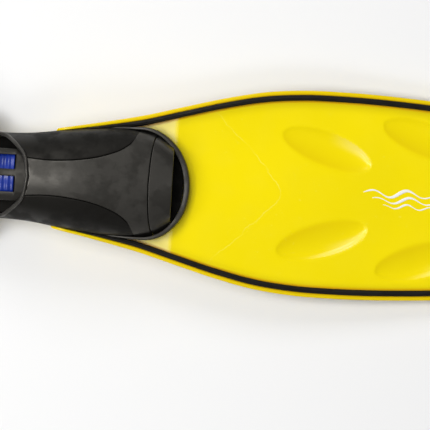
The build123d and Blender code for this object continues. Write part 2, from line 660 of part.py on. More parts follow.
with BuildPart() as screw:
    with BuildSketch(at_side(anchor_face + SCREW_GRIP)):
        with Locations((-POST_X, POST_Z)):
            Circle(SCREW_RADIUS)
    extrude(amount=cap_face - anchor_face - SCREW_GRIP)
    with BuildSketch(at_side(cap_face)):
        with Locations((-POST_X, POST_Z)):
            Circle(SCREW_HEAD / 2)
    extrude(amount=SCREW_HEAD_HEIGHT)
    fillet(screw.edges().filter_by(GeomType.CIRCLE).group_by(Axis.Y)[-1], SCREW_HEAD_ROUND)
    with BuildSketch(at_side(cap_face + SCREW_HEAD_HEIGHT)):
        with Locations((-POST_X, POST_Z)):
            RegularPolygon(SOCKET_RADIUS, 6)
    extrude(amount=-SOCKET_DEPTH, mode=Mode.SUBTRACT)
both_sides(screw.part, "retainer_screw")

cheek_front = lever_x + LEVER_BOSS + LEVER_WALL
cheek_rear = ROLLER_X - CHEEK_REAR
with BuildPart() as buckle:
    with BuildSketch(at_side(boss_start)):
        with Locations((-POST_X, POST_Z)):
            Circle(BUCKLE_BOSS)
        with Locations((-lever_x, POST_Z)):
            Rectangle(2 * LEVER_BOSS - LEVER_WALL, 2 * cheek_outside)
        make_hull()
    extrude(amount=BUCKLE_BOSS_LENGTH)
    for level in (cheek_inside, -cheek_outside):
        with BuildSketch(Plane.XY.offset(POST_Z + level)):
            with BuildLine():
                FilletPolyline((cheek_front, boss_start), (cheek_rear, boss_start),
                               (cheek_rear, roller_y + CHEEK_REAR_TOP),
                               (lever_x - CHEEK_BREAK, lever_y + CHEEK_FRONT_TOP),
                               (cheek_front, lever_y + CHEEK_FRONT_TOP), radius=CHEEK_CORNER, close=True)
            make_face()
        extrude(amount=CHEEK)
    with BuildSketch(Plane.XY.offset(POST_Z - cheek_inside)):
        with Locations((ROLLER_X, roller_y)):
            Circle(ROLLER_RADIUS + FIT + STRAP + FIT)
        with Locations((lever_x, lever_y)):
            Circle(LEVER_BOSS + FIT)
    extrude(amount=2 * cheek_inside, mode=Mode.SUBTRACT)
    with BuildSketch(Plane.XY.offset(POST_Z - cheek_outside)):
        with Locations((ROLLER_X, roller_y), (lever_x, lever_y)):
            Circle(PIN_RADIUS)
    extrude(amount=2 * cheek_outside, mode=Mode.SUBTRACT)
    with BuildSketch(at_side(boss_start)):
        with Locations((-POST_X, POST_Z)):
            Circle(POST_RADIUS + POST_RUNNING)
    extrude(amount=BUCKLE_BOSS_LENGTH, mode=Mode.SUBTRACT)
both_sides(buckle.part, "buckle_frame")


def pin_at(x, y):
    """A headless pin across the buckle's cheeks."""
    with BuildPart() as pin:
        with BuildSketch(Plane.XY.offset(POST_Z - cheek_outside)):
            with Locations((x, y)):
                Circle(PIN_RADIUS)
        extrude(amount=2 * cheek_outside)
    return pin.part


both_sides(pin_at(ROLLER_X, roller_y), "roller_pin")
both_sides(pin_at(lever_x, lever_y), "lever_pin")

with BuildPart() as roller:
    with BuildSketch(Plane.XY.offset(POST_Z - STRAP_WIDTH / 2)):
        with Locations((ROLLER_X, roller_y)):
            Circle(ROLLER_RADIUS)
            Circle(PIN_RADIUS + POST_RUNNING, mode=Mode.SUBTRACT)
    extrude(amount=STRAP_WIDTH)
both_sides(roller.part, "strap_roller")

lever_face = outer_run + STRAP + FIT
underside = [(ROLLER_X + dx, lever_face + dy) for dx, dy in LEVER_UNDERSIDE]
lever_top = lever_y + LEVER_BOSS
with BuildPart() as lever:
    with BuildSketch(Plane.XY.offset(POST_Z - STRAP_WIDTH / 2)):
        with BuildLine():
            FilletPolyline((lever_x, lever_top), (lever_x, lever_y), *underside,
                           (ROLLER_X - LEVER_HEEL, lever_top), radius=LEVER_EDGE, close=True)
        make_face()
        with Locations((lever_x, lever_y)):
            Circle(LEVER_BOSS)
            Circle(PIN_RADIUS + POST_RUNNING, mode=Mode.SUBTRACT)
    extrude(amount=STRAP_WIDTH)
both_sides(lever.part, "release_lever")

strap_outside = inner_run + STRAP
bow_start = ROLLER_X - STRAIGHT_LEG
with BuildPart() as strap_ends:
    with BuildSketch(Plane.XY.offset(POST_Z - STRAP_WIDTH / 2)):
        with Locations((ROLLER_X, roller_y)):
            Circle(ROLLER_RADIUS + FIT + STRAP)
            Circle(ROLLER_RADIUS + FIT, mode=Mode.SUBTRACT)
            Rectangle(WIDE, WIDE, align=(Align.MAX, Align.CENTER), mode=Mode.SUBTRACT)
        with Locations((ROLLER_X, outer_run)):
            Rectangle(STRAP_TAIL + ROLLER_X, STRAP, align=(Align.MAX, Align.MIN))
        with Locations((ROLLER_X, inner_run)):
            Rectangle(ROLLER_X - bow_start, STRAP, align=(Align.MAX, Align.MIN))
        mirror(about=Plane.XZ)
    extrude(amount=STRAP_WIDTH)
with BuildSketch() as bow_plan:
    with BuildLine():
        EllipticalCenterArc((bow_start, 0), HEEL_BOW, strap_outside, start_angle=90, arc_size=180)
        Line((bow_start, strap_outside), (bow_start, inner_run))
        EllipticalCenterArc((bow_start, 0), HEEL_BOW - STRAP, inner_run, start_angle=90, arc_size=180)
        Line((bow_start, -strap_outside), (bow_start, -inner_run))
    make_face()


def strap_profile(margin):
    """Side view of the strap, which grows taller behind the heel; margin trims it all round."""
    tall = HEEL_TALL / 2 - margin
    slim = STRAP_WIDTH / 2 - margin
    front = ROLLER_X + 3 * ROLLER_RADIUS
    knee = bow_start - KNEE_SETBACK
    full = knee - KNEE_LENGTH
    rear = bow_start - HEEL_BOW - MARGIN
    outline = [(front, slim), (knee, slim), (full, tall), (rear, tall)]
    outline = outline + [(x, -z) for x, z in reversed(outline)]
    bends = [(knee, slim), (knee, -slim), (full, tall), (full, -tall)]
    return side_profile([(x, POST_Z + z) for x, z in outline],
                        round_at=[(x, POST_Z + z) for x, z in bends], radius=KNEE_RADIUS)


with BuildPart() as strap:
    add(plan_by_profile(bow_plan.sketch, strap_profile(0)))
    add(strap_ends.part)
keep(strap.part, "heel_strap")

with BuildSketch() as pad_plan:
    with BuildLine():
        pad_bow = HEEL_BOW - STRAP - HEEL_PAD
        EllipticalCenterArc((bow_start, 0), HEEL_BOW - STRAP, inner_run, start_angle=90, arc_size=180)
        Line((bow_start, inner_run), (bow_start, inner_run - HEEL_PAD))
        EllipticalCenterArc((bow_start, 0), pad_bow, inner_run - HEEL_PAD, start_angle=90, arc_size=180)
        Line((bow_start, HEEL_PAD - inner_run), (bow_start, -inner_run))
    make_face()
    with Locations((bow_start - HEEL_PAD_SETBACK, 0)):
        Rectangle(HEEL_BOW, WIDE, align=(Align.MIN, Align.CENTER), mode=Mode.SUBTRACT)
heel_pad = plan_by_profile(pad_plan.sketch, strap_profile(HEEL_PAD_INSET))
keep(heel_pad, "heel_pad")

tab_front = bow_start - HEEL_BOW + TAB_OVERLAP
with BuildPart() as pull_tab:
    with BuildSketch(Plane.XY.offset(POST_Z - TAB_HEIGHT / 2)):
        with Locations((tab_front, 0)):
            Rectangle(TAB_LENGTH, TAB_WIDTH, align=(Align.MAX, Align.CENTER))
        fillet(vertices().group_by(Axis.X)[0], TAB_CORNER)
        with Locations((tab_front - TAB_WALL, 0)):
            RectangleRounded(TAB_LENGTH - 2 * TAB_WALL, TAB_WIDTH - 2 * TAB_WALL, TAB_WALL,
                             align=(Align.MAX, Align.CENTER), mode=Mode.SUBTRACT)
    extrude(amount=TAB_HEIGHT)
    add(strap.part, mode=Mode.SUBTRACT)
keep(pull_tab.part.solids().sort_by(Axis.X)[0], "pull_tab")

keeper_rear = ROLLER_X - KEEPER_SETBACK - KEEPER_LENGTH
keeper_inside = inner_run
keeper_outside = outer_run + STRAP
keeper_room = keeper_outside - keeper_inside
with BuildPart() as keeper:
    with BuildSketch(Plane.YZ.offset(keeper_rear)):
        with Locations(((keeper_inside + keeper_outside) / 2, POST_Z)):
            RectangleRounded(keeper_room + 2 * KEEPER, STRAP_WIDTH + 2 * KEEPER, KEEPER_CORNER)
            Rectangle(keeper_room, STRAP_WIDTH, mode=Mode.SUBTRACT)
    extrude(amount=KEEPER_LENGTH)
both_sides(keeper.part, "strap_keeper")

# ---------------------------------------------------------------- origin and export
tip_x = max(piece.bounding_box().max.X for piece in pieces)
rear_x = min(piece.bounding_box().min.X for piece in pieces)
shift = -(tip_x + rear_x) / 2

os.makedirs("parts", exist_ok=True)
for piece in pieces:
    moved = piece.moved(Location((shift, 0, 0)))
    moved.label = piece.label
    export_step(moved, f"parts/{piece.label}.step")
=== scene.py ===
"""Looks of an open-heel swim fin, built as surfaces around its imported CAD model.

Lengths inside the shape functions are millimetres from the front of the toe rim on the fin's middle line,
with x towards the blade tip, y to the left and z up from the floor. They become metres in the model's frame
when a mesh is made.
"""

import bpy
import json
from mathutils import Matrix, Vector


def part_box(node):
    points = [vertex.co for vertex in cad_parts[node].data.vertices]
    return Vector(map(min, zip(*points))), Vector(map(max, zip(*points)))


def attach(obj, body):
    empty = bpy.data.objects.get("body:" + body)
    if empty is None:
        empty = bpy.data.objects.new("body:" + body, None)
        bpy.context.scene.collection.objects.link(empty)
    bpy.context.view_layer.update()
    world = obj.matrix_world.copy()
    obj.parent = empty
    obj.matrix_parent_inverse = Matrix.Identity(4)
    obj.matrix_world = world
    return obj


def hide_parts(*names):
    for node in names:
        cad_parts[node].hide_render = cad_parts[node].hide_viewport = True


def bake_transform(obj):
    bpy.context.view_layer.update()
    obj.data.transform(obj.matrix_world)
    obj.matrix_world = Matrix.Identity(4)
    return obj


bl_info = {
    "name": "Swim Fin",
    "version": (1, 0, 0),
    "blender": (4, 5, 0),
    "location": "3D View > Sidebar > Swim Fin",
    "description": "Builds the blade, foot pocket, tongue and heel strap of a swim fin around its CAD frame",
    "category": "Object",
}

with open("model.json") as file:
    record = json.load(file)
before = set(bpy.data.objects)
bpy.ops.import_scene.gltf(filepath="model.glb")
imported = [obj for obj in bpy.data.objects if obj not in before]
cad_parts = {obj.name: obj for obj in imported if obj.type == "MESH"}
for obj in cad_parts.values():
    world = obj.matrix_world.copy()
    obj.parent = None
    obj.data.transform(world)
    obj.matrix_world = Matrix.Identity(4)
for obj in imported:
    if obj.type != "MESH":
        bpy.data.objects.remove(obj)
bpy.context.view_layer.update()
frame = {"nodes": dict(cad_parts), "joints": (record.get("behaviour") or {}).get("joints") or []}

import json
from math import cos, pi, radians, sin

import bmesh
import bpy
import numpy as np
from bpy.props import FloatProperty, FloatVectorProperty, PointerProperty
from mathutils import Vector

MM = 0.001
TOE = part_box("toe_rim")[1].x / MM
HEEL_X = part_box("blade")[0].x / MM - TOE
TIP_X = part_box("blade")[1].x / MM - TOE
BLADE_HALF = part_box("blade")[1].y / MM
POCKET_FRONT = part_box("toe_band")[1].x / MM - TOE + 2
RAIL_REAR = -147.0
RAIL_FRONT = TIP_X - 24
RAIL_THINNING = 2.1  # how much thinner the rails are at their rear ends
TIP_FLAT = 12.0  # length of rail that lies flat on the floor
TOE_STATION = -53.0  # where the rails and ribs reach their full thickness
BEND_X = -17.0
BEND_Z = 38.0
HEEL_Z = 8.5
BLADE_SLOPE = (BEND_Z - 6) / (RAIL_FRONT - TIP_FLAT - BEND_X)
SOLE_SLOPE = (BEND_Z - HEEL_Z) / (BEND_X - HEEL_X)
INSTEP_PLATE = 45.6  # half-width of the foot plate beside the instep
SHOULDER = 0.35  # share of the pocket's height where its side wall turns into the arch
CROWN_SHARE = 0.74  # share w at the foot of the arch
METRIC = (1.0, 100.0)  # millimetres that one unit of x and of w stand for when curves are measured
BEAD_INSET = 2.2  # mouth's edge forwards to the edge of the panels
FORWARD, LEFT, UP = (1.0, 0.0, 0.0), (0.0, 1.0, 0.0), (0.0, 0.0, 1.0)
RIM_LENGTH = 50.0
RIM_HALF = 60.0
TOE_SKEW = 0.045  # how far the toes' nose leans round to one side, per unit of width
SCOOP_PLACES = ((144, 48), (251, 64))
SCOOP_ANGLE = radians(18)
SCOOP_HALF_LENGTH = 49.5
SCOOP_HALF_WIDTH = 19.2
FLOW_LINE = 109.6  # point of the flow line on the middle line

# Outlines: each first number is x. The second is a half-width, a height over the foot plate, a half-width,
# a height over the floor and a distance from the middle line.
POCKET_HALF = ((-250, 46), (-174, 47), (-118, 54.5), (-75, 57.2), (-50, 54.6), (-34, 49.4),
               (POCKET_FRONT, 39.6))
POCKET_HEIGHT = ((-250, 76), (-174, 74), (-118, 66), (-75, 54), (-50, 46), (POCKET_FRONT, 36))
EDGE = ((RAIL_REAR, 52.9), (-96, 63.2), (TOE_STATION, 72.8), (-11, 84.5), (32, 96.3), (74.4, 105.5),
        (118, 110), (160, BLADE_HALF), (225, BLADE_HALF - 2), (300, BLADE_HALF - 8),
        (RAIL_FRONT, BLADE_HALF - 15))
OPENING = ((-172.5, 91.5), (-177.5, 84.6), (-185, 76.6), (-191.5, 67.6), (-200, 53.6), (-214, 42.6),
           (-238, 34.6))
SIDE_SEAM = ((-176, 20.5), (-150, 19), (-118, 21.5), (-90, 28), (-72, 36), (-62, 44.5), (-57.5, 52))


# ---------------------------------------------------------------- sizes and colours a user may change
class FinSizes(bpy.types.PropertyGroup):
    """Sizes of what the CAD model leaves plain, in metres."""

    rail_wall: FloatProperty(name="Rail wall", description="Thickness of the blade's side rails",
                             default=0.0048, unit="LENGTH")
    rail_rise: FloatProperty(name="Rail rise", description="Height of the rails above the web",
                             default=0.0045, unit="LENGTH")
    rib_width: FloatProperty(name="Rib width", description="Width of the rubber ribs",
                             default=0.006, unit="LENGTH")
    rib_rise: FloatProperty(name="Rib rise", description="Height of the rubber ribs above the web",
                            default=0.0072, unit="LENGTH")
    scoop_depth: FloatProperty(name="Scoop depth", description="Depth of the blade's scoops",
                               default=0.0040, unit="LENGTH")
    seam: FloatProperty(name="Seam", description="Width of the grooves between the pocket's panels",
                        default=0.0009, unit="LENGTH")
    panel: FloatProperty(name="Panel", description="Thickness of the pocket's panels",
                         default=0.0026, unit="LENGTH")


class FinColours(bpy.types.PropertyGroup):
    """Base colours, linear."""

    blade: FloatVectorProperty(name="Blade", description="Yellow of the blade", subtype="COLOR",
                               size=3, default=(0.98, 0.79, 0.0))
    # Painted shade: an orange-brown tone laid on the web beside the ribs, standing in for the shadow and
    # yellow bounce light at the foot of each rib.
    rib_painted_shade_colour: FloatVectorProperty(name="Blade by the ribs", description="Deeper tone beside the ribs",
                                    subtype="COLOR", size=3, default=(0.74, 0.33, 0.0))
    rubber: FloatVectorProperty(name="Rubber", description="Black of the foot pocket", subtype="COLOR",
                                size=3, default=(0.0095, 0.009, 0.0078))
    pad: FloatVectorProperty(name="Pad", description="Blue of the instep pad", subtype="COLOR",
                             size=3, default=(0.009, 0.034, 0.31))
    emblem: FloatVectorProperty(name="Emblem", description="White of the emblem", subtype="COLOR",
                                size=3, default=(0.93, 0.93, 0.88))


# ---------------------------------------------------------------- numbers and curves
def smooth(knots, x):
    """Cubic curve through the knots: Hermite pieces with slopes averaged over the neighbouring chords."""
    knots = np.asarray(knots, float)
    xs, ys = knots[:, 0], knots[:, 1]
    slopes = np.gradient(ys, xs)
    i = np.clip(np.searchsorted(xs, x) - 1, 0, len(xs) - 2)
    span = xs[i + 1] - xs[i]
    t = np.clip((x - xs[i]) / span, 0, 1)
    return ((1 + 2 * t) * (1 - t) ** 2 * ys[i] + t * (1 - t) ** 2 * span * slopes[i]
            + t * t * (3 - 2 * t) * ys[i + 1] + t * t * (t - 1) * span * slopes[i + 1])


def ease(low, high, x):
    """Smooth step: 0 below low, 1 above high, and 3t^2 - 2t^3 between."""
    t = np.clip((x - low) / (high - low), 0, 1)
    return t * t * (3 - 2 * t)


def even_points(points, count, weights=(1.0, 1.0)):
    """Points spaced evenly by length along the smooth curve through a few points."""
    points = np.asarray(points, float)
    metric = np.asarray(weights, float)
    chord = np.r_[0, np.cumsum(np.linalg.norm(np.diff(points * metric, axis=0), axis=1))]
    fine = np.linspace(0, chord[-1], 40 * len(points))
    curve = np.stack([smooth(np.c_[chord, points[:, k]], fine) for k in range(points.shape[1])], 1)
    along = np.r_[0, np.cumsum(np.linalg.norm(np.diff(curve * metric, axis=0), axis=1))]
    target = np.linspace(0, along[-1], count)
    return np.stack([np.interp(target, along, curve[:, k]) for k in range(points.shape[1])], 1)


def coons(bottom, top, left, right):
    """Coons patch: the ruled surfaces between opposite sides, added, less the one through the corners."""
    u = np.linspace(0, 1, len(bottom))[:, None, None]
    v = np.linspace(0, 1, len(left))[None, :, None]
    corners = ((1 - u) * (1 - v) * bottom[0] + u * (1 - v) * bottom[-1] + (1 - u) * v * top[0]
               + u * v * top[-1])
    return ((1 - v) * bottom[:, None] + v * top[:, None] + (1 - u) * left[None] + u * right[None] - corners)


def headings(path):
    """Unit tangents along an open path."""
    along = np.gradient(path, axis=0)
    return along / np.linalg.norm(along, axis=1, keepdims=True)


def loop_headings(path):
    """Unit tangents round a closed path."""
    along = np.roll(path, -1, 0) - np.roll(path, 1, 0)
    return along / np.linalg.norm(along, axis=1, keepdims=True)


def to_right(along):
    """Level unit vectors to the right of plan tangents."""
    return np.stack([along[:, 1], -along[:, 0], 0 * along[:, 0]], 1)


def repeated(direction, path):
    """The same direction for every point of a path."""
    return np.tile(direction, (len(path), 1))


def sized(section, across, up):
    """A unit section at each point of a path, scaled by that point's own width and height."""
    return np.stack([section[None, :, 0] * across[:, None], section[None, :, 1] * up[:, None]], -1)


def blade_line(x):
    """Height of the blade's upper plane, which also runs on behind the bend as the rails' datum."""
    return BEND_Z - (x - BEND_X) * BLADE_SLOPE


def sole_line(x):
    """Height of the foot plate's upper plane."""
    return BEND_Z + (x - BEND_X) * SOLE_SLOPE


def web_top(x):
    """The lower of the blade's and the foot plate's planes, with the bend between them rounded a little."""
    a, b = blade_line(x), sole_line(x)
    return (a + b - np.sqrt((a - b) ** 2 + 0.25)) / 2


def rail_thickness(x, wall):
    """Thickness of the rails, which grow from their rear ends to the toe station."""
    return wall - RAIL_THINNING * np.clip((TOE_STATION - x) / (TOE_STATION - RAIL_REAR), 0, 1)


def outline(x):
    """Half-width of the blade and foot plate: the rails' outer edge, and the narrower heel plate behind."""
    plate = INSTEP_PLATE - 1.5 * ease(-200, HEEL_X, x)
    step = ease(RAIL_REAR - 1.5, RAIL_REAR + 3, x)
    return plate * (1 - step) + smooth(EDGE, np.maximum(x, RAIL_REAR)) * step


# ---------------------------------------------------------------- meshes
def mesh_object(name, points, faces):
    """A smooth-shaded mesh object, stored in metres, from points in millimetres from the toe rim."""
    points = np.asarray(points, float).reshape(-1, 3) * MM
    points[:, 0] += TOE * MM
    mesh = bpy.data.meshes.new(name)
    mesh.from_pydata(points.tolist(), [], faces if isinstance(faces, list) else faces.tolist())
    mesh.polygons.foreach_set("use_smooth", np.ones(len(mesh.polygons), bool))
    mesh.update()
    obj = bpy.data.objects.new(name, mesh)
    bpy.context.scene.collection.objects.link(obj)
    return obj


def quads(rows, columns, close_rows=False, close_columns=False):
    """Quads of a grid of points numbered row by row, wrapping round where it is closed."""
    r = np.arange(rows if close_rows else rows - 1)[:, None]
    c = np.arange(columns if close_columns else columns - 1)[None, :]
    r2, c2 = (r + 1) % rows, (c + 1) % columns
    corners = [r * columns + c, r * columns + c2, r2 * columns + c2, r2 * columns + c]
    return np.stack(corners, -1).reshape(-1, 4)


def tidy(obj, merge=0.00002):
    """Merges doubled points and turns every face outwards."""
    mesh = bmesh.new()
    mesh.from_mesh(obj.data)
    bmesh.ops.remove_doubles(mesh, verts=mesh.verts, dist=merge)
    bmesh.ops.dissolve_degenerate(mesh, edges=mesh.edges, dist=merge / 4)
    bmesh.ops.recalc_face_normals(mesh, faces=mesh.faces)
    mesh.to_mesh(obj.data)
    mesh.free()
    obj.data.polygons.foreach_set("use_smooth", np.ones(len(obj.data.polygons), bool))
    return obj


def settle(obj):
    """Puts the result of an object's modifiers into its mesh."""
    evaluated = obj.evaluated_get(bpy.context.evaluated_depsgraph_get())
    final = bpy.data.meshes.new_from_object(evaluated, preserve_all_data_layers=True,
                                            depsgraph=bpy.context.evaluated_depsgraph_get())
    obj.modifiers.clear()
    obj.data = final
    return obj


def capped(name, upper, lower):
    """Closed mesh between two grids of points of the same size, joined round their borders."""
    rows, columns = upper.shape[:2]
    index = np.arange(rows * columns).reshape(rows, columns)
    border = np.r_[index[0, :-1], index[:-1, -1], index[-1, :0:-1], index[:0:-1, 0]]
    after = np.roll(border, -1)
    shift = rows * columns
    walls = np.stack([border, after, after + shift, border + shift], 1)
    faces = np.r_[quads(rows, columns)[:, ::-1], quads(rows, columns) + shift, walls]
    return tidy(mesh_object(name, np.r_[upper.reshape(-1, 3), lower.reshape(-1, 3)], faces))


def slab(name, upper, lower):
    """Closed mesh between two grids of points: quads round the rows and a strip across each end."""
    rows, columns = upper.shape[:2]
    around = 2 * columns
    loop = np.concatenate([upper, lower[:, ::-1]], 1)
    faces = quads(rows, around, close_columns=True).tolist()
    k = np.arange(columns - 1)
    for base in (0, (rows - 1) * around):
        faces += np.stack([base + k, base + k + 1, base + around - 2 - k, base + around - 1 - k], 1).tolist()
    return mesh_object(name, loop, faces)


def fine_borders(patch):
    """Adds lines close inside a grid's four borders, for rounding them."""
    for axis in (0, 1):
        last = patch.shape[axis] - 1
        near = np.array([0, 0.10, 0.28, 0.5, 0.75])
        at = np.r_[near, np.arange(1, last), last - near[::-1]]
        low = np.minimum(at.astype(int), last - 1)
        part = (at - low).reshape((-1, 1, 1) if axis == 0 else (1, -1, 1))
        patch = np.take(patch, low, axis) * (1 - part) + np.take(patch, low + 1, axis) * part
    return patch


def border_distance(points):
    """Distance from the nearest border, measured along the grid's lines."""
    nearest = None
    for axis in (0, 1):
        step = np.linalg.norm(np.diff(points, axis=axis), axis=-1)
        run = np.concatenate([np.zeros_like(np.take(step, [0], axis)), np.cumsum(step, axis)], axis)
        to_end = np.take(run, [-1], axis) - run
        both = np.minimum(run, to_end)
        nearest = both if nearest is None else np.minimum(nearest, both)
    return nearest


def shell(name, patch, wall, edge=0.7, grow=0.0, sign=1):
    """A panel of the foot pocket: its outer face falls away to its borders on a quarter circle of radius
    edge, and its inner face is the same patch moved inwards by the wall."""
    patch = fine_borders(patch)
    gap = np.clip(1 - border_distance(lift(patch, grow, sign)) / edge, 0, 1)
    fall = edge * (1 - np.sqrt(1 - gap ** 2))
    return capped(name, lift(patch, grow - fall, sign), lift(patch, grow - wall, sign))


def tube(name, path, side, rise, section, closed=False):
    """A closed section carried along a path: its first numbers go along side, its second along rise."""
    points = path[:, None] + side[:, None] * section[..., :1] + rise[:, None] * section[..., 1:]
    rows, columns = points.shape[:2]
    faces = quads(rows, columns, close_rows=closed, close_columns=True).tolist()
    points = points.reshape(-1, 3)
    if not closed:
        middles = np.stack([points[:columns].mean(0), points[-columns:].mean(0)])
        first, last = len(points), len(points) + 1
        end = (rows - 1) * columns
        faces += [[first, (k + 1) % columns, k] for k in range(columns)]
        faces += [[last, end + k, end + (k + 1) % columns] for k in range(columns)]
        points = np.r_[points, middles]
    return tidy(mesh_object(name, points, faces))


def rounded(width, height, radius, steps=4):
    """A rounded rectangle about its middle: four quarter circles joined by straight sides."""
    turn = np.linspace(0, pi / 2, steps)
    corner = np.stack([np.cos(turn), np.sin(turn)], 1) * radius
    parts = []
    for k, (sx, sy) in enumerate(((1, 1), (-1, 1), (-1, -1), (1, -1))):
        spin = np.array([[cos(k * pi / 2), -sin(k * pi / 2)], [sin(k * pi / 2), cos(k * pi / 2)]])
        parts.append(corner @ spin.T + [sx * (width / 2 - radius), sy * (height / 2 - radius)])
    return np.concatenate(parts)


def beaded(radius, bead):
    """A unit square with rounded corners and a fine bead along the middle of its upper side."""
    square = rounded(1.0, 1.0, radius, 5)
    across = np.linspace(0.5 - radius, radius - 0.5, 13)[1:-1]
    top = np.stack([across, 0.5 + bead * np.exp(-(across / 0.075) ** 2)], 1)
    return np.r_[square[:5], top, square[5:]]


def finish_piece(obj, material, body, slot, *nodes):
    """Gives a piece its material and body, and hides the CAD nodes it stands for. The slot is not used."""
    obj.data.materials.clear()
    obj.data.materials.append(material)
    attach(obj, body)
    if nodes:
        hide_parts(*nodes)
    return obj


# ---------------------------------------------------------------- materials
class Shader:
    """A material's node tree, with short calls to add and join nodes."""

    def __init__(self, name):
        self.material = bpy.data.materials.new(name)
        self.material.use_nodes = True
        self.tree = self.material.node_tree
        self.surface = self.tree.nodes["Principled BSDF"]

    def node(self, kind, **settings):
        """Adds a node; a setting named after a socket fills or links it, any other is a property."""
        made = self.tree.nodes.new(kind)
        sockets = {s.name: s for s in made.inputs}
        for key, value in settings.items():
            label = key.replace("_", " ")
            if hasattr(made, key) and label not in sockets:
                setattr(made, key, value)
            else:
                self.join(value, sockets[label])
        return made

    def join(self, value, socket):
        """Links an output to a socket, or sets the socket's own value."""
        if isinstance(value, bpy.types.NodeSocket):
            self.tree.links.new(value, socket)
        else:
            socket.default_value = value

    def set(self, **values):
        """Sets or links the shader's own sockets."""
        for key, value in values.items():
            self.join(value, self.surface.inputs[key.replace("_", " ")])

    def place(self):
        """Object coordinates, in metres."""
        return self.node("ShaderNodeTexCoord").outputs["Object"]

    def attribute(self, name):
        """A piece's own number, stored at its points."""
        return self.node("ShaderNodeAttribute", attribute_name=name).outputs["Fac"]

    def noise(self, scale, detail=2.0, roughness=0.5):
        """Noise value at a scale in repeats per metre."""
        made = self.node("ShaderNodeTexNoise", Scale=scale, Detail=detail, Roughness=roughness,
                         Vector=self.place())
        return made.outputs["Fac"]

    def math(self, operation, a, b=0.0, c=0.0):
        """One scalar operation."""
        made = self.tree.nodes.new("ShaderNodeMath")
        made.operation = operation
        for socket, value in zip(made.inputs, (a, b, c)):
            self.join(value, socket)
        return made.outputs[0]

    def remap(self, value, low, high, to_low, to_high):
        """Maps a range to another, eased at both ends."""
        made = self.node("ShaderNodeMapRange", interpolation_type="SMOOTHSTEP")
        for key, number in zip(("Value", "From Min", "From Max", "To Min", "To Max"),
                               (value, low, high, to_low, to_high)):
            self.join(number, made.inputs[key])
        return made.outputs[0]

    def mix(self, amount, a, b):
        """Colour a turned towards colour b by an amount."""
        made = self.tree.nodes.new("ShaderNodeMix")
        made.data_type = "RGBA"
        for socket, value in zip((made.inputs[0], made.inputs[6], made.inputs[7]), (amount, a, b)):
            self.join(value, socket)
        return made.outputs[2]

    def bump(self, height, distance, strength=1.0):
        """Bump from a height, with its depth in metres."""
        made = self.node("ShaderNodeBump", Strength=strength, Distance=distance, Height=height)
        self.join(made.outputs[0], self.surface.inputs["Normal"])


def rgba(colour, gain=1.0):
    """A colour with full alpha, brightened or darkened."""
    return (colour[0] * gain, colour[1] * gain, colour[2] * gain, 1.0)


def darker(colour, gain):
    """A colour's three numbers scaled down."""
    return [c * gain for c in colour]


def blade_material(colours):
    """Glossy yellow moulding: cloudy tone, a faint line where two flows met, painted shade beside the ribs
    and on the scoops' inner slopes, a painted highlight on the scoops' tip walls and a painted reflection on
    the web just behind the bend.
    """
    s = Shader("blade_yellow")
    apart = s.node("ShaderNodeSeparateXYZ", Vector=s.place())
    x, y = apart.outputs["X"], apart.outputs["Y"]
    wobble = s.math("MULTIPLY", s.math("SUBTRACT", s.noise(34.0, 4.0, 0.6), 0.5), 0.022)
    reach = s.math("ABSOLUTE", y)
    bow = s.math("SQRT", s.math("MULTIPLY_ADD", y, y, 0.012 ** 2))
    line = s.math("ADD", s.math("MULTIPLY_ADD", bow, 1.05, x), wobble)
    off = s.math("ABSOLUTE", s.math("SUBTRACT", line, (TOE + FLOW_LINE) * MM))
    flow = s.remap(off, 0.0002, 0.0009, 1.0, 0.0)
    flow = s.math("MULTIPLY", flow, s.remap(reach, 0.07, 0.085, 1.0, 0.0))
    flow = s.math("MULTIPLY", flow, s.remap(s.noise(60.0, 1.0), 0.35, 0.65, 0.06, 0.34))
    cloud = s.remap(s.noise(9.0, 4.0), 0.35, 0.7, 0.0, 1.0)
    tone = s.mix(cloud, rgba(colours.blade), rgba(colours.blade, 0.955))
    scuff = s.math("MULTIPLY", s.remap(s.noise(240.0, 5.0, 0.7), 0.60, 0.78, 0.0, 0.35),
                   s.remap(s.noise(16.0, 1.0), 0.5, 0.66, 0.0, 1.0))
    pale = (1.0, 0.93, 0.16, 1.0)
    tone = s.mix(s.math("MAXIMUM", flow, scuff), tone, pale)
    rail = s.attribute("on_rail")
    # Painted reflection: the web just behind the bend, off the rails, is paled where it reflects the
    # overhead light.
    behind = s.remap(x, (TOE + BEND_X - 4) * MM, (TOE + BEND_X) * MM, 0.30, 0.0)
    tone = s.mix(s.math("MULTIPLY", behind, s.math("SUBTRACT", 1.0, rail)), tone, (1.0, 0.93, 0.45, 1.0))
    tone = s.mix(s.math("MULTIPLY", rail, 0.8), tone, rgba((0.84, 0.60, 0.0)))
    # Painted shade: the scoops' inner slopes are darkened to a deeper yellow where they turn away from the
    # light.
    tone = s.mix(s.math("MULTIPLY", s.attribute("scoop_painted_shade"), 0.62), tone, rgba((0.80, 0.555, 0.0)))
    # Painted highlight: a pale streak on the scoops' tip walls, where the light glints.
    tone = s.mix(s.math("MULTIPLY", s.attribute("scoop_painted_highlight"), 0.34), tone, (1.0, 0.93, 0.42, 1.0))
    # Painted shade beside the ribs: the web there is turned orange-brown where the ribs' shadow and bounce
    # light fall.
    tone = s.mix(s.attribute("rib_painted_shade"), tone, rgba(colours.rib_painted_shade_colour))
    rough = s.remap(s.noise(38.0, 4.0), 0.3, 0.7, 0.16, 0.23)
    s.set(Base_Color=tone, Roughness=rough, Specular_IOR_Level=0.30)
    s.bump(s.noise(900.0, 2.0), 0.00003, 0.35)
    return s.material


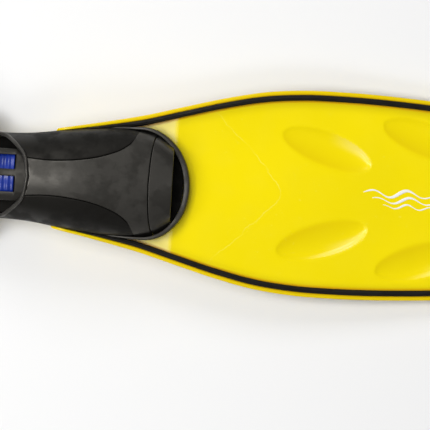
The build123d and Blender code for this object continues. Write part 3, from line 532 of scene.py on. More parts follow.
def rubber_material(name, colour, gloss=0.0, grain=0.00004, shine=0.8, waves=0.0012):
    """Satin moulded rubber: cloudy sheen, slow waves that break up its highlights, fine grain and smears."""
    s = Shader(name)
    cloud = s.remap(s.noise(42.0, 4.0, 0.55), 0.36, 0.64, 0.0, 1.0)
    smear = s.remap(s.noise(110.0, 4.0, 0.65), 0.35, 0.75, 0.0, 1.0)
    tone = s.mix(cloud, rgba(colour, 0.8), rgba(colour, 1.5))
    rough = s.math("MULTIPLY_ADD", smear, -0.06, s.remap(cloud, 0.0, 1.0, 0.62 - gloss, 0.37 - gloss))
    s.set(Base_Color=tone, Roughness=rough, Specular_IOR_Level=shine, Specular_Tint=(1.0, 0.95, 0.86, 1.0))
    swell = s.math("MULTIPLY", s.noise(26.0, 2.0), waves / grain)
    s.bump(s.math("MULTIPLY_ADD", s.noise(1500.0, 2.0), 1.0, swell), grain, 0.8)
    return s.material


def pad_material(colours):
    """Glossy deep blue soft polymer with slow bands of tone across the ribs."""
    s = Shader("pad_blue")
    bands = s.noise(22.0, 2.0)
    tone = s.mix(s.remap(bands, 0.3, 0.7, 0.0, 1.0), rgba(colours.pad), rgba(colours.pad, 0.55))
    s.set(Base_Color=tone, Roughness=0.27, Specular_IOR_Level=0.5, Coat_Weight=0.12, Coat_Roughness=0.12)
    s.bump(s.noise(700.0, 2.0), 0.00002, 0.3)
    return s.material


def moulded_material(name, colour, roughness):
    """Fine-textured hard plastic with slightly polished high spots."""
    s = Shader(name)
    grain = s.noise(2600.0, 1.0)
    tone = s.mix(s.noise(70.0, 3.0), rgba(colour), rgba(colour, 1.6))
    rough = s.remap(s.noise(120.0, 3.0), 0.3, 0.7, roughness - 0.08, roughness + 0.06)
    s.set(Base_Color=tone, Roughness=rough)
    s.bump(grain, 0.00003, 0.6)
    return s.material


def steel_material():
    """Stainless steel with fine turning marks."""
    s = Shader("pin_steel")
    marks = s.node("ShaderNodeTexWave", wave_type="BANDS", bands_direction="Z", Scale=900.0, Distortion=1.5,
                   Vector=s.place()).outputs["Fac"]
    s.set(Base_Color=(0.62, 0.62, 0.60, 1.0), Metallic=1.0, Roughness=s.remap(marks, 0.0, 1.0, 0.22, 0.34))
    s.bump(marks, 0.00001, 0.4)
    return s.material


def emblem_material(colours):
    """Matt white pad print with slight wear."""
    s = Shader("emblem_white")
    wear = s.remap(s.noise(420.0, 4.0), 0.62, 0.75, 0.0, 0.25)
    s.set(Base_Color=s.mix(wear, rgba(colours.emblem), (0.93, 0.86, 0.45, 1.0)), Roughness=0.45)
    return s.material


def floor_material():
    """Plain pale sweep."""
    s = Shader("pale_floor")
    s.set(Base_Color=(0.90, 0.90, 0.90, 1.0), Roughness=0.9, Specular_IOR_Level=0.1)
    return s.material


# ---------------------------------------------------------------- blade
def scoops(x, y):
    """Depth share of the scoops, and how much of each point lies on their inner slope and on their tip wall.
    In each scoop's own axes a runs along it and n across it, 0 at its inner edge and 1 at its outer edge.
    The depth goes down to the crease on a quarter sine and up from it on a power curve, and fades to both
    ends with the scoop's width."""
    total, slope, wall = np.zeros_like(x), np.zeros_like(x), np.zeros_like(x)
    ax, ay = cos(SCOOP_ANGLE), -sin(SCOOP_ANGLE)
    for place_x, place_y in SCOOP_PLACES:
        dx, dy = x - place_x, np.abs(y) - place_y
        a = (dx * ax + dy * ay) / SCOOP_HALF_LENGTH
        b = (-dx * ay + dy * ax) / SCOOP_HALF_WIDTH
        half = np.sqrt(np.clip(1 - a * a, 1e-6, 1))
        n = np.clip((b / half + 1) / 2, 0, 1)
        crease = 0.70 + 0.06 * a
        inner = np.sin(pi / 2 * np.clip(n / crease, 0, 1)) ** 1.2
        outer = 1 - np.clip((n - crease) / (1 - crease), 0, 1) ** 2.2
        across = np.where(n < crease, inner, outer)
        inside = (np.abs(a) < 1) & (np.abs(b) < half)
        along = half ** 0.85 * (1 + 0.34 * a)
        total += np.where(inside, across * along, 0)
        # This mask places the painted shade on the scoops' inner slopes.
        slope += np.where(inside, ease(0, 0.16, n) * np.exp(-n / 0.32) * half ** 0.5 * (1 - 0.35 * a), 0)
        # This mask places the painted highlight on the scoops' tip walls.
        wall += np.where(inside, ease(crease - 0.1, 0.9, n) * ease(-0.1, 0.8, a) * half ** 0.3, 0)
    return total, slope, wall


def blade_sections(sizes):
    """Upper and lower faces of one half of the blade on one grid: rows run along it, columns across. Each
    column is a distance in from the edge, so the rails keep their wall while the blade widens; the last rows
    bend to the tip's outline, and the first to the heel's. The stations are close at the rails' rear ends,
    at the bend and along the scoops."""
    spans = ((HEEL_X, 26), (RAIL_REAR - 2, 18), (RAIL_REAR + 20, 34), (-26, 13), (-8, 30), (88, 138),
             (308, 30), (TIP_X, 0))
    stations = np.unique(np.concatenate([np.linspace(start, stop, count)
                                         for (start, count), (stop, _) in zip(spans, spans[1:])]))
    rail = np.array([0, 0.04, 0.14, 0.3, 0.7, 0.86, 0.96, 1.0])
    web = np.linspace(0, 1, 62)[1:]
    share = np.r_[rail, 1 + web]
    x = stations[:, None] + 0 * share[None]
    half = outline(stations)[:, None]
    taper = rail_thickness(x, sizes.rail_wall / MM)
    inset = np.where(share <= 1, share * taper, taper + (share - 1) * (half - taper))
    y = half - inset
    tip_bend = ease(RAIL_FRONT - 50, TIP_X, stations)[:, None]
    t = np.abs(y / half)
    tip_line = TIP_X - 9 * np.exp(-(t / 0.33) ** 2) - 24 * t ** 7
    x = x - tip_bend * (TIP_X - tip_line)
    heel_bend = 1 - ease(HEEL_X, HEEL_X + 30, stations)[:, None]
    x = x + heel_bend * 16 * t ** 7
    top = web_top(x)
    crest = blade_line(x) + sizes.rail_rise / MM
    back = np.clip(x - RAIL_REAR, 0, 18)
    crest = crest - 18 + np.sqrt(np.maximum(18 ** 2 - (18 - back) ** 2, 0))
    crest = np.where(x < RAIL_REAR, top, crest)
    fade = ease(RAIL_FRONT - 36, RAIL_FRONT + 1, x)
    crest = crest * (1 - fade) + top * fade
    border = np.minimum(share, 1 - share) / 0.3
    edge_round = np.where(share <= 1, np.sqrt(np.clip(1 - (1 - border) ** 2, 0, 1)), 0)
    edge_round = np.where((share > 0.3) & (share < 0.7), 1, edge_round)
    on_rail = share[None] < 1
    thick = np.interp(x, [HEEL_X, BEND_X, TIP_X], [4.0, 3.5, 2.0])
    root = np.interp(x, [HEEL_X, RAIL_REAR, BEND_X, RAIL_FRONT - TIP_FLAT, RAIL_FRONT, TIP_X],
                     [HEEL_Z - 4, float(sole_line(RAIL_REAR)) - 4, BEND_Z - 6, 0, 0, 1.5])
    round_over = 1.1 * (1 - edge_round)
    high = np.where(on_rail, np.maximum(crest - round_over, top - 0.4), top)
    low_web = top - thick
    low = np.where(on_rail, np.minimum(root + round_over, low_web + 0.2), low_web)
    share_down, slope, wall = scoops(x, y)
    dip = share_down * sizes.scoop_depth / MM
    high = high - dip
    low = low - dip
    return x, y, high, low, inset, taper, slope, wall


class SWIMFIN_OT_blade(bpy.types.Operator):
    """Builds the yellow blade with its rails, scoops and foot plate"""

    bl_idname = "swimfin.blade"
    bl_label = "Blade"

    def execute(self, context):
        sizes, colours = context.scene.fin_sizes, context.scene.fin_colours
        x, y, high, low, inset, taper, slope, wall = blade_sections(sizes)
        full = lambda values, sign: np.c_[values, sign * values[:, -2::-1]]
        x, inset, taper, slope, wall = (full(values, 1) for values in (x, inset, taper, slope, wall))
        y, high, low = full(y, -1), full(high, 1), full(low, 1)
        obj = slab("blade_shell", np.stack([x, y, high], -1), np.stack([x, y, low], -1))
        # Mask of the painted shade beside the ribs: strongest at the rib's foot, fading over 3 mm, and
        # weaker on the inner half of the rail's top.
        near = np.clip(1 - (inset - taper - sizes.rib_width / MM) / 3.0, 0, 1) ** 0.9
        inner_rail = 2 * np.clip(inset / taper - 0.5, 0, 0.5)
        near = near * (inset > taper) + 0.55 * (inset <= taper) * inner_rail
        near = near * ease(-110, -50, x)
        rail = (inset <= taper + 0.01) * 1.0
        # These masks carry painted shade beside the ribs and on the scoops' inner slopes, and a painted
        # highlight on the scoops' tip walls; on_rail marks the rails.
        for label, values in (("rib_painted_shade", near), ("on_rail", rail), ("scoop_painted_shade", slope), ("scoop_painted_highlight", wall)):
            tone = obj.data.attributes.new(label, "FLOAT", "POINT")
            tone.data.foreach_set("value", np.concatenate([values, values], 1).ravel().astype(np.float32))
        tidy(obj)
        finish_piece(obj, blade_material(colours), "fin", "blade", "blade")
        return {"FINISHED"}


class SWIMFIN_OT_ribs(bpy.types.Operator):
    """Builds the black rubber ribs along the rails, above and below the web"""

    bl_idname = "swimfin.ribs"
    bl_label = "Ribs"

    def execute(self, context):
        sizes, colours = context.scene.fin_sizes, context.scene.fin_colours
        tone = darker(colours.rubber, 0.45)
        rubber = rubber_material("rib_rubber", tone, gloss=0.04, shine=0.25, waves=0.0)
        for level, start in (("top", -118.0), ("bottom", BEND_X + 6)):
            x = np.linspace(start, RAIL_FRONT - (10 if level == "top" else TIP_FLAT), 240)
            wall = rail_thickness(x, sizes.rail_wall / MM)
            width = sizes.rib_width / MM * (1 - 0.55 * np.clip((TOE_STATION - x) / 65, 0, 1))
            middle = outline(x) - wall - width / 2
            if level == "top":
                fade = ease(x[-1] - 30, x[-1], x)
                crest = blade_line(x) + sizes.rib_rise / MM * (1 - fade) + 0.8 * fade
                crest = crest - 5 * (1 - ease(start, start + 9, x))
                foot = web_top(x) - 0.6
            else:
                crest = web_top(x) - 2.6
                foot = crest - 2.6 + 1.8 * ease(x[-1] - 30, x[-1], x)
                foot = foot + 2.0 * (1 - ease(start, start + 12, x))
            shaped = sized(beaded(0.24, 0.05), width * 1.02, crest - foot)
            for side, word in ((1, "left"), (-1, "right")):
                path = np.stack([x, side * middle, (crest + foot) / 2], 1)
                obj = tube(f"{level}_rib_{word}", path, repeated(LEFT, path), repeated(UP, path), shaped)
                finish_piece(obj, rubber, "fin", "rib_rubber", f"rib_{level}_{word}")
        return {"FINISHED"}


# ---------------------------------------------------------------- foot pocket
def pocket(x, w, grow):
    """Point on the foot pocket: w is 0 at the crown and 1 at the base, on an ellipse quarter and then a
    straight side wall; grow moves it outwards."""
    half = smooth(POCKET_HALF, x) + grow
    height = smooth(POCKET_HEIGHT, x)
    base = sole_line(x)
    shoulder = base + SHOULDER * height
    turn = (1 - np.clip(np.abs(w) / CROWN_SHARE, 0, 1)) * pi / 2
    down = np.clip((np.abs(w) - CROWN_SHARE) / (1 - CROWN_SHARE), 0, 1)
    skirt = 4.6 * ease(-84, -50, x) * down ** 0.8
    y = np.sign(w) * (half * np.cos(turn) + skirt)
    z = shoulder + ((1 - SHOULDER) * height + grow) * np.sin(turn) - down * (shoulder - base)
    return np.stack([x + 0 * w, y, z], -1)


def share_at_width(x, y):
    """The share w at which the pocket's arch is y wide at x."""
    turn = np.arccos(np.clip(y / smooth(POCKET_HALF, x), 0, 1))
    return CROWN_SHARE * (1 - turn / (pi / 2))


def share_at_height(x, z):
    """The share w at which the pocket's wall is z high at x."""
    height = smooth(POCKET_HEIGHT, x)
    base = sole_line(x)
    shoulder = base + SHOULDER * height
    rise = np.clip((z - shoulder) / ((1 - SHOULDER) * height), 0, 1)
    on_arch = CROWN_SHARE * (1 - np.arcsin(rise) / (pi / 2))
    on_wall = CROWN_SHARE + (1 - CROWN_SHARE) * (shoulder - z) / (shoulder - base)
    return np.where(z > shoulder, on_arch, np.clip(on_wall, CROWN_SHARE, 1))


def opening_curve():
    """The mouth's edge as (x, w) pairs, from the crown to the end of the wing."""
    edge = np.array(OPENING, float)
    x = edge[:, 0]
    w = share_at_height(x, edge[:, 1])
    w[0] = 0
    return even_points(np.stack([x, w], 1), 200, METRIC)


def seam_curve():
    """The side seam as (x, w) pairs, from the mouth to the base beside the toes."""
    seam = np.array(SIDE_SEAM, float)
    w = share_at_width(seam[:, 0], seam[:, 1])
    points = np.r_[np.stack([seam[:, 0], w], 1), [[-55.5, 0.86], [-54.5, 1.0]]]
    return even_points(points, 200, METRIC)


def toe_curve(shift):
    """The seam across the toes as (x, w) pairs from the crown to the base, moved along x."""
    points = [(-44, 0), (-42.6, 0.27), (-39, 0.60), (-36.5, 0.80), (-36, 1.0)]
    return even_points(np.array(points) + [shift, 0], 60, METRIC)


def offset_curve(curve, distance):
    """A curve in (x, w) moved sideways by a distance in millimetres."""
    flat = curve * METRIC
    along = headings(flat)
    return (flat + distance * np.stack([-along[:, 1], along[:, 0]], 1)) / METRIC


def mirrored(patch):
    """A patch and its mirror image joined across the middle line, which is its first column."""
    flipped = patch[:, :0:-1] * [1, -1]
    return np.concatenate([flipped, patch], 1)


def upper_patches(seam):
    """The panels as patches of (x, w): the instep between the side seams, one side, and the toe band."""
    mouth = opening_curve() + [BEAD_INSET, 0]
    side = seam_curve()
    start = np.argmin(np.abs(mouth[:, 1] - side[0, 1]))
    inside = offset_curve(side, -seam / 2)
    outside = offset_curve(side, seam / 2)
    inside[:, 1] = np.minimum(inside[:, 1], 1)
    outside[:, 1] = np.minimum(outside[:, 1], 1)
    front = toe_curve(-seam / 2)
    base = np.array([[inside[-1, 0], 1.0], [front[-1, 0], 1.0]])
    outer = even_points(np.r_[inside[::8], base[1:]], 120, METRIC)
    rear = even_points(mouth[:start + 1:4], 50, METRIC)
    outer[0] = rear[-1]
    crown = even_points(np.array([rear[0], (rear[0] + front[0]) / 2, front[0]]), 120, METRIC)
    front_edge = even_points(front, 50, METRIC)
    outer[-1] = front_edge[-1]
    instep = coons(crown, outer, rear, front_edge)
    top = even_points(outside[::8], 130, METRIC)
    mouth_low = even_points(mouth[start::4][::-1], 44, METRIC)
    top[0] = mouth_low[-1]
    wing = np.array([[mouth_low[0, 0], 1.0], [top[-1, 0], 1.0]])
    floor = even_points(np.array([mouth_low[0], wing.mean(0), wing[1]]), 130, METRIC)
    rear_x, rear_w = mouth_low[0]
    floor[:, 1] = np.minimum(1, np.interp(floor[:, 0], [rear_x, rear_x + 6], [rear_w, 1]))
    tip = np.tile(top[-1], (44, 1))
    floor[-1] = top[-1]
    sides = coons(floor, top, mouth_low, tip)
    lip = toe_curve(seam / 2)
    far = np.stack([np.full(len(lip), POCKET_FRONT), lip[:, 1]], 1)
    blend = np.linspace(0, 1, 22)[:, None, None]
    band = lip[None] * (1 - blend) + far[None] * blend
    return mirrored(instep), sides, mirrored(band)


def lift(patch, grow=0.0, sign=1):
    """Puts a patch of (x, w) on the pocket."""
    return pocket(patch[..., 0], sign * patch[..., 1], grow)


class SWIMFIN_OT_pocket(bpy.types.Operator):
    """Builds the foot pocket's panels, liner and rolled mouth"""

    bl_idname = "swimfin.pocket"
    bl_label = "Foot pocket"

    def execute(self, context):
        sizes, colours = context.scene.fin_sizes, context.scene.fin_colours
        rubber = rubber_material("pocket_rubber", colours.rubber)
        # Painted shade: the side walls use a darker copy of the pocket rubber, standing in for the shade on
        # the pocket's flanks.
        shaded_flank = rubber_material("side_rubber_painted_shade", darker(colours.rubber, 0.45), gloss=-0.08, shine=0.20)
        dull = rubber_material("liner_rubber", darker(colours.rubber, 0.35), gloss=-0.3, shine=0.1)
        wall = sizes.panel / MM
        instep, sides, band = upper_patches(sizes.seam / MM)
        obj = shell("instep_upper", instep, wall)
        finish_piece(obj, rubber, "fin", "pocket_rubber", "instep_panel")
        obj = shell("toe_cap_band", band, wall)
        finish_piece(obj, rubber, "fin", "pocket_rubber", "toe_band")
        for sign, word in ((1, "left"), (-1, "right")):
            obj = shell(f"side_wall_{word}", sides, wall, sign=sign)
            finish_piece(obj, shaded_flank, "fin", "pocket_rubber", f"side_panel_{word}")
        mouth = opening_curve()
        share = np.linspace(0, 1, 90)
        rear = np.interp(share, mouth[:, 1], mouth[:, 0])
        rows = np.linspace(0, 1, 100)[:, None]
        x = rear[None] * (1 - rows) + POCKET_FRONT * rows
        patch = mirrored(np.stack([x, share[None] + 0 * x], -1))
        obj = shell("pocket_lining", patch, 1.2, edge=0.3, grow=-wall - 0.5)
        finish_piece(obj, dull, "fin", "pocket_rubber", "pocket_liner")
        self.bead(rubber, mouth)
        return {"FINISHED"}

    def bead(self, rubber, mouth):
        """The rolled lip: an oval carried along the mouth's edge, smaller where it fades into the wings."""
        half = mouth[::2]
        edge = np.r_[half[:0:-1] * [1, -1], half]
        path = pocket(edge[:, 0], edge[:, 1], -1.0)
        outward = pocket(edge[:, 0], edge[:, 1], 0.0) - path
        outward /= np.linalg.norm(outward, axis=1, keepdims=True)
        across = np.cross(outward, headings(path))
        turn = np.linspace(0, 2 * pi, 20, endpoint=False)
        size = 1 - 0.35 * ease(0.45, 1.0, np.abs(np.linspace(-1, 1, len(path))))
        section = np.stack([1.9 * np.cos(turn), 2.4 * np.sin(turn)], 1)[None] * size[:, None, None]
        obj = tube("mouth_lip", path, across, outward, section)
        finish_piece(obj, rubber, "fin", "pocket_rubber", "instep_rim")


class SWIMFIN_OT_toe_rim(bpy.types.Operator):
    """Builds the crescent rim round the toes"""

    bl_idname = "swimfin.toe_rim"
    bl_label = "Toe rim"

    def execute(self, context):
        colours = context.scene.fin_colours
        turn = np.linspace(-pi / 2, pi / 2, 161)
        nose = np.stack([-RIM_LENGTH + RIM_LENGTH * np.cos(turn), RIM_HALF * np.sin(turn)], 1)
        tail_x = np.linspace(-88, -RIM_LENGTH - 1, 24)
        tail_y = smooth(((-90, 57.6), (-85, 58.2), (-66, 59.6), (-RIM_LENGTH, RIM_HALF)), tail_x)
        plan = np.r_[np.stack([tail_x, -tail_y], 1), nose, np.stack([tail_x, tail_y], 1)[::-1]]
        x = plan[:, 0]
        wide = smooth(((-90, 1.6), (-70, 2.4), (-50, 3.2), (-32, 4.2), (-12, 5.8), (0, 6.6)), x)
        crest = smooth(((-90, 50.0), (-60, 53.0), (-35, 53.6), (-12, 50.5), (0, 48.6)), x)
        foot = web_top(x) - 0.5
        plan[:, 0] -= TOE_SKEW * plan[:, 1]
        inward = -to_right(headings(plan))
        path = np.stack([x, plan[:, 1], (crest + foot) / 2], 1) + inward * wide[:, None] / 2
        section = rounded(1.0, 1.0, 0.17, 6)
        lean = 0.10
        shaped = sized(section, wide, crest - foot)
        shaped[..., 0] += lean * (section[None, :, 1] - 0.5) * wide[:, None]
        obj = tube("toe_bumper", path, inward, repeated(UP, path), shaped)
        rubber = rubber_material("rim_rubber", colours.rubber, shine=0.75, waves=0.0004)
        finish_piece(obj, rubber, "fin", "pocket_rubber", "toe_rim")
        return {"FINISHED"}


class SWIMFIN_OT_insole(bpy.types.Operator):
    """Builds the foot bed, dished along the middle with a raised edge"""

    bl_idname = "swimfin.insole"
    bl_label = "Insole"

    def execute(self, context):
        colours = context.scene.fin_colours
        x = np.linspace(HEEL_X + 4, -6.8, 150)[:, None]
        t = np.linspace(-1, 1, 61)[None]
        inside = smooth(POCKET_HALF, np.minimum(x, POCKET_FRONT)) - 4.8
        reach = (x + RIM_LENGTH) / (RIM_LENGTH - 6.6)
        nose = (RIM_HALF - 4.2) * np.sqrt(np.clip(1 - reach ** 2, 0.0004, 1))
        half = np.where(x > POCKET_FRONT - 1, nose, inside)
        heel = 1 - ease(HEEL_X + 4, HEEL_X + 34, x)
        y = half * t
        x_full = x + heel * 15 * np.abs(t) ** 6 - TOE_SKEW * y * ease(-30, -18, x)
        base = web_top(x_full)
        dish = 6.0 - 1.6 * np.cos(t * pi / 2) ** 0.8 * ease(HEEL_X, HEEL_X + 30, x_full)
        ribbed = (np.abs(t) < 0.8) * ease(-60, -20, -np.abs(x_full + 120))
        dish = dish + 0.35 * np.cos(x_full / 4.0 * 2 * pi) * ribbed
        edge = np.clip((1 - np.abs(t)) / 0.05, 0, 1)
        top = base + dish * (0.75 + 0.25 * np.sqrt(1 - (1 - edge) ** 2))
        upper, lower = np.stack([x_full, y, top], -1), np.stack([x_full, y, base], -1)
        obj = tidy(slab("foot_bed", upper, lower))
        rubber = rubber_material("foot_bed_rubber", darker(colours.rubber, 0.4), -0.25, 0.0001, 0.12, 0.0)
        finish_piece(obj, rubber, "fin", "foot_bed", "insole")
        return {"FINISHED"}


# ---------------------------------------------------------------- tongue
class SWIMFIN_OT_tongue(bpy.types.Operator):
    """Builds the windowed tongue and the ribbed blue pad below it"""

    bl_idname = "swimfin.tongue"
    bl_label = "Instep tongue"

    def execute(self, context):
        colours = context.scene.fin_colours
        low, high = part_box("tongue")
        rear, front = low.x / MM - TOE, high.x / MM - TOE
        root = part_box("tongue_root")[1].x / MM - TOE
        first, window, cross = front - 1.4, 19.0, 7.5
        lines_x = [root, front + 8, front + 3, first + 1.2]
        rungs = [(first, first - window), (first - window - cross, first - 2 * window - cross)]
        for start, stop in rungs:
            lines_x += [start, start - 1.6, (start + stop) / 2, stop + 1.6, stop]
        lines_x = np.unique(np.r_[lines_x, rear + 1.2, rear])
        bars = (-27.0, -17.8, -0.8, 7.4, 23.4, 29.2)
        sights = ((-17.8, -0.8), (7.4, 23.4))
        lines_y = [bars[0] + 1.2, bars[-1] - 1.2, (bars[2] + bars[3]) / 2]
        for start, stop in sights:
            lines_y += [start + 1.6, (start + stop) / 2, stop - 1.6]
        lines_y = np.unique(np.r_[lines_y, bars])
        x, y = np.meshgrid(lines_x, lines_y, indexing="ij")
        corner = ease(0.55, 1.0, np.abs(y - 1) / 28) * (1 - ease(rear, rear + 14, x))
        placed_x = x + 9 * corner
        points = self.on_arch(placed_x, y, -5.5)
        mid_x = (lines_x[1:] + lines_x[:-1]) / 2
        mid_y = (lines_y[1:] + lines_y[:-1]) / 2
        in_y = np.any([(mid_y > start) & (mid_y < stop) for start, stop in sights], 0)
        in_x = np.any([(mid_x < start) & (mid_x > stop) for start, stop in rungs], 0)
        solid = ~(in_x[:, None] & in_y[None]).ravel()
        obj = mesh_object("tongue_ladder", points, quads(*x.shape)[solid][:, ::-1])
        wall = obj.modifiers.new("wall", "SOLIDIFY")
        wall.thickness = 3.0 * MM
        wall.offset = -1
        wall.use_even_offset = True
        smoothing = obj.modifiers.new("round", "SUBSURF")
        smoothing.levels = smoothing.render_levels = 3
        settle(obj)
        tidy(obj)
        rubber = rubber_material("tongue_rubber", colours.rubber, gloss=-0.02, shine=0.42)
        obj.data.materials.append(rubber)
        hinge = next(j for j in frame["joints"] if j["name"] == "tongue_lift")["pos_m"]
        start, end = (hinge[0] + 0.003, 0, hinge[2]), (hinge[0] - 0.004, 0, hinge[2])
        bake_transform(obj)
        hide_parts("tongue", "tongue_root")
        self.pad(colours)
        return {"FINISHED"}

    def on_arch(self, x, y, grow):
        """Points above plan places (x, y) on the pocket's arch grown by a distance."""
        half = smooth(POCKET_HALF, x) + grow
        height = smooth(POCKET_HEIGHT, x)
        rise = (1 - SHOULDER) * height + grow
        z = sole_line(x) + SHOULDER * height + rise * np.sqrt(np.clip(1 - (y / half) ** 2, 0, 1))
        return np.stack([x, y, z], -1)

    def pad(self, colours):
        """A crowned blue pad with ribs across its upper face: a cosine of 6.6 mm pitch and 0.4 mm height."""
        low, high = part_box("instep_pad")
        rear, front, half = low.x / MM - TOE, high.x / MM - TOE, high.y / MM
        x = np.linspace(front, rear, 121)[:, None] + np.zeros((1, 49))
        y = np.linspace(-half, half, 49)[None] + np.zeros((121, 1))
        t = np.abs(y) / half
        u = np.abs(x - (front + rear) / 2) / ((front - rear) / 2)
        crown = np.sqrt(np.clip(1 - np.maximum(t, u) ** 8, 0, 1))
        ribs = 0.40 * np.cos((x - front) / 6.6 * 2 * pi) * crown
        under = self.on_arch(x, y, -12.6)
        over = self.on_arch(x, y, -10.2)
        over[..., 2] += 1.3 * crown + ribs
        obj = tidy(slab("ribbed_pad", over, under))
        finish_piece(obj, pad_material(colours), "instep_tongue", "pad_blue", "instep_pad")


# ---------------------------------------------------------------- heel strap
class SWIMFIN_OT_strap(bpy.types.Operator):
    """Builds the toothed heel strap, its pad, pull tab and keepers"""

    bl_idname = "swimfin.strap"
    bl_label = "Heel strap"

    def execute(self, context):
        colours = context.scene.fin_colours
        belt = rubber_material("strap_rubber", colours.rubber, gloss=0.06)
        level = (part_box("heel_strap")[0].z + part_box("heel_strap")[1].z) / 2 / MM
        low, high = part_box("strap_roller_left")
        roller_x, roller_y = (low.x + high.x) / 2 / MM - TOE, (low.y + high.y) / 2 / MM
        radius = (high.x - low.x) / 2 / MM
        wrap = radius + 0.3 + 1.25
        bow_start = roller_x - 22
        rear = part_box("heel_strap")[0].x / MM - TOE + 1.25
        tail_end = -292.0
        leg = roller_y - wrap
        tail = np.stack([np.linspace(tail_end, roller_x, 60), np.full(60, roller_y + wrap)], 1)
        turn = np.linspace(pi / 2, -pi / 2, 26)[1:]
        bend = np.stack([roller_x + wrap * np.cos(turn), roller_y + wrap * np.sin(turn)], 1)
        run = np.stack([np.linspace(roller_x, bow_start, 24), np.full(24, leg)], 1)[1:]
        arc = np.linspace(pi / 2, pi, 60)[1:]
        bow = np.stack([bow_start + (bow_start - rear) * np.cos(arc), leg * np.sin(arc)], 1)
        half = np.r_[tail, bend, run, bow]
        plan = np.r_[half, half[-2::-1] * [1, -1]]
        outward = to_right(headings(plan))
        length = np.r_[0, np.cumsum(np.linalg.norm(np.diff(plan, axis=0), axis=1))]
        off_middle = np.abs(length - length[-1] / 2)
        tall = 20 + 22 * (1 - ease(22, 62, off_middle))
        teeth = 0.30 * np.cos(length / 3.4 * 2 * pi) * ease(70, 84, off_middle)
        end = np.minimum(length, length[-1] - length)
        nose = np.sqrt(np.clip(1 - (1 - np.clip(end / 6, 0, 1)) ** 2, 0.02, 1))
        section = rounded(1.0, 1.0, 0.18, 5)
        thick = 2.2 * (0.6 + 0.4 * nose)
        shaped = sized(section, thick, tall * nose)
        shaped[..., 0] += (section[None, :, 0] > 0.3) * teeth[:, None]
        path = np.c_[plan, np.full(len(plan), level)]
        obj = tube("toothed_strap", path, outward, repeated(UP, path), shaped)
        finish_piece(obj, belt, "strap", "strap_rubber", "heel_strap")
        self.pad(colours, bow_start, rear, leg, level)
        self.tab(belt, level)
        self.keepers(belt)
        return {"FINISHED"}

    def pad(self, colours, bow_start, rear, leg, level):
        """The soft pad inside the bow: a lens carried along an inner ellipse, pinched by two channels."""
        turn = np.linspace(radians(112), radians(248), 120)
        deep, wide = bow_start - rear - 1.3, leg - 1.3
        plan = np.stack([bow_start + (deep - 1.9) * np.cos(turn), (wide - 1.9) * np.sin(turn)], 1)
        outward = to_right(headings(plan))
        t = np.linspace(-1, 1, 120)
        end = np.sqrt(np.clip(1 - t ** 6, 0.01, 1))
        tall = 24 + 14 * (1 - np.abs(t)) ** 0.6
        channel = 1 - 0.28 * np.exp(-(np.abs(np.abs(t) - 0.42) / 0.03) ** 2)
        around = np.linspace(0, 2 * pi, 36, endpoint=False)
        lens = np.stack([np.sign(np.cos(around)) * np.abs(np.cos(around)) ** 0.8 / 2,
                         np.sign(np.sin(around)) * np.abs(np.sin(around)) ** 0.45 / 2], 1)
        shaped = sized(lens, 3.8 * end * channel, tall * end)
        path = np.c_[plan, np.full(len(plan), level)]
        obj = tube("heel_cushion", path, outward, repeated(UP, path), shaped)
        rubber = rubber_material("cushion_rubber", colours.rubber, grain=0.0001)
        finish_piece(obj, rubber, "strap", "pocket_rubber", "heel_pad")

    def tab(self, belt, level):
        """The finger loop: an oval bar carried round a rounded rectangle."""
        low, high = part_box("pull_tab")
        x0, x1, half = low.x / MM - TOE, high.x / MM - TOE, high.y / MM
        loop = rounded(x1 - x0 - 5, 2 * half - 5, 7.5, 12)
        dense = np.r_[loop, loop[:1]]
        chord = np.r_[0, np.cumsum(np.linalg.norm(np.diff(dense, axis=0), axis=1))]
        at = np.linspace(0, chord[-1], 97)[:-1]
        plan = np.stack([np.interp(at, chord, dense[:, k]) for k in (0, 1)], 1) + [(x0 + x1) / 2, 0]
        outward = to_right(loop_headings(plan))
        path = np.c_[plan, np.full(len(plan), level)]
        section = rounded(4.6, 8.6, 1.9, 5)[None] + np.zeros((len(plan), 1, 1))
        obj = tube("finger_loop", path, outward, repeated(UP, path), section, closed=True)
        finish_piece(obj, belt, "strap", "strap_rubber", "pull_tab")

    def keepers(self, belt):
        """Bands round the strap and its tail: a rounded bar carried round a rounded rectangle."""
        for word in ("left", "right"):
            low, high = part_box(f"strap_keeper_{word}")
            middle = (low + high) / 2
            deep, wide, tall = (high - low) / MM
            loop = rounded(wide - 1.7, tall - 1.7, 1.6, 6)
            path = np.c_[np.full(len(loop), middle.x / MM - TOE), loop + [middle.y / MM, middle.z / MM]]
            fore = repeated(FORWARD, path)
            outward = np.cross(loop_headings(path), fore)
            section = rounded(1.7, deep, 0.6, 4)[None] + np.zeros((len(path), 1, 1))
            obj = tube(f"strap_band_{word}", path, outward, fore, section, closed=True)
            finish_piece(obj, belt, "strap", "strap_rubber", f"strap_keeper_{word}")


class SWIMFIN_OT_hardware(bpy.types.Operator):
    """Gives the buckles, anchors, pins, screws and treads their materials"""

    bl_idname = "swimfin.hardware"
    bl_label = "Buckles and treads"

    def execute(self, context):
        colours = context.scene.fin_colours
        black = moulded_material("buckle_black", (0.017, 0.017, 0.018), 0.42)
        lever = moulded_material("lever_black", (0.022, 0.022, 0.024), 0.30)
        steel = steel_material()
        tread = rubber_material("tread_rubber", colours.rubber, grain=0.00012)
        finishes = (("strap_anchor", black), ("post_retainer", black), ("buckle_frame", black),
                    ("release_lever", lever), ("strap_roller", lever), ("retainer_screw", steel),
                    ("roller_pin", steel), ("lever_pin", steel), ("outsole", tread))
        for name, node in frame["nodes"].items():
            for stem, material in finishes:
                if name.startswith(stem):
                    node.data.materials.clear()
                    node.data.materials.append(material)
        return {"FINISHED"}


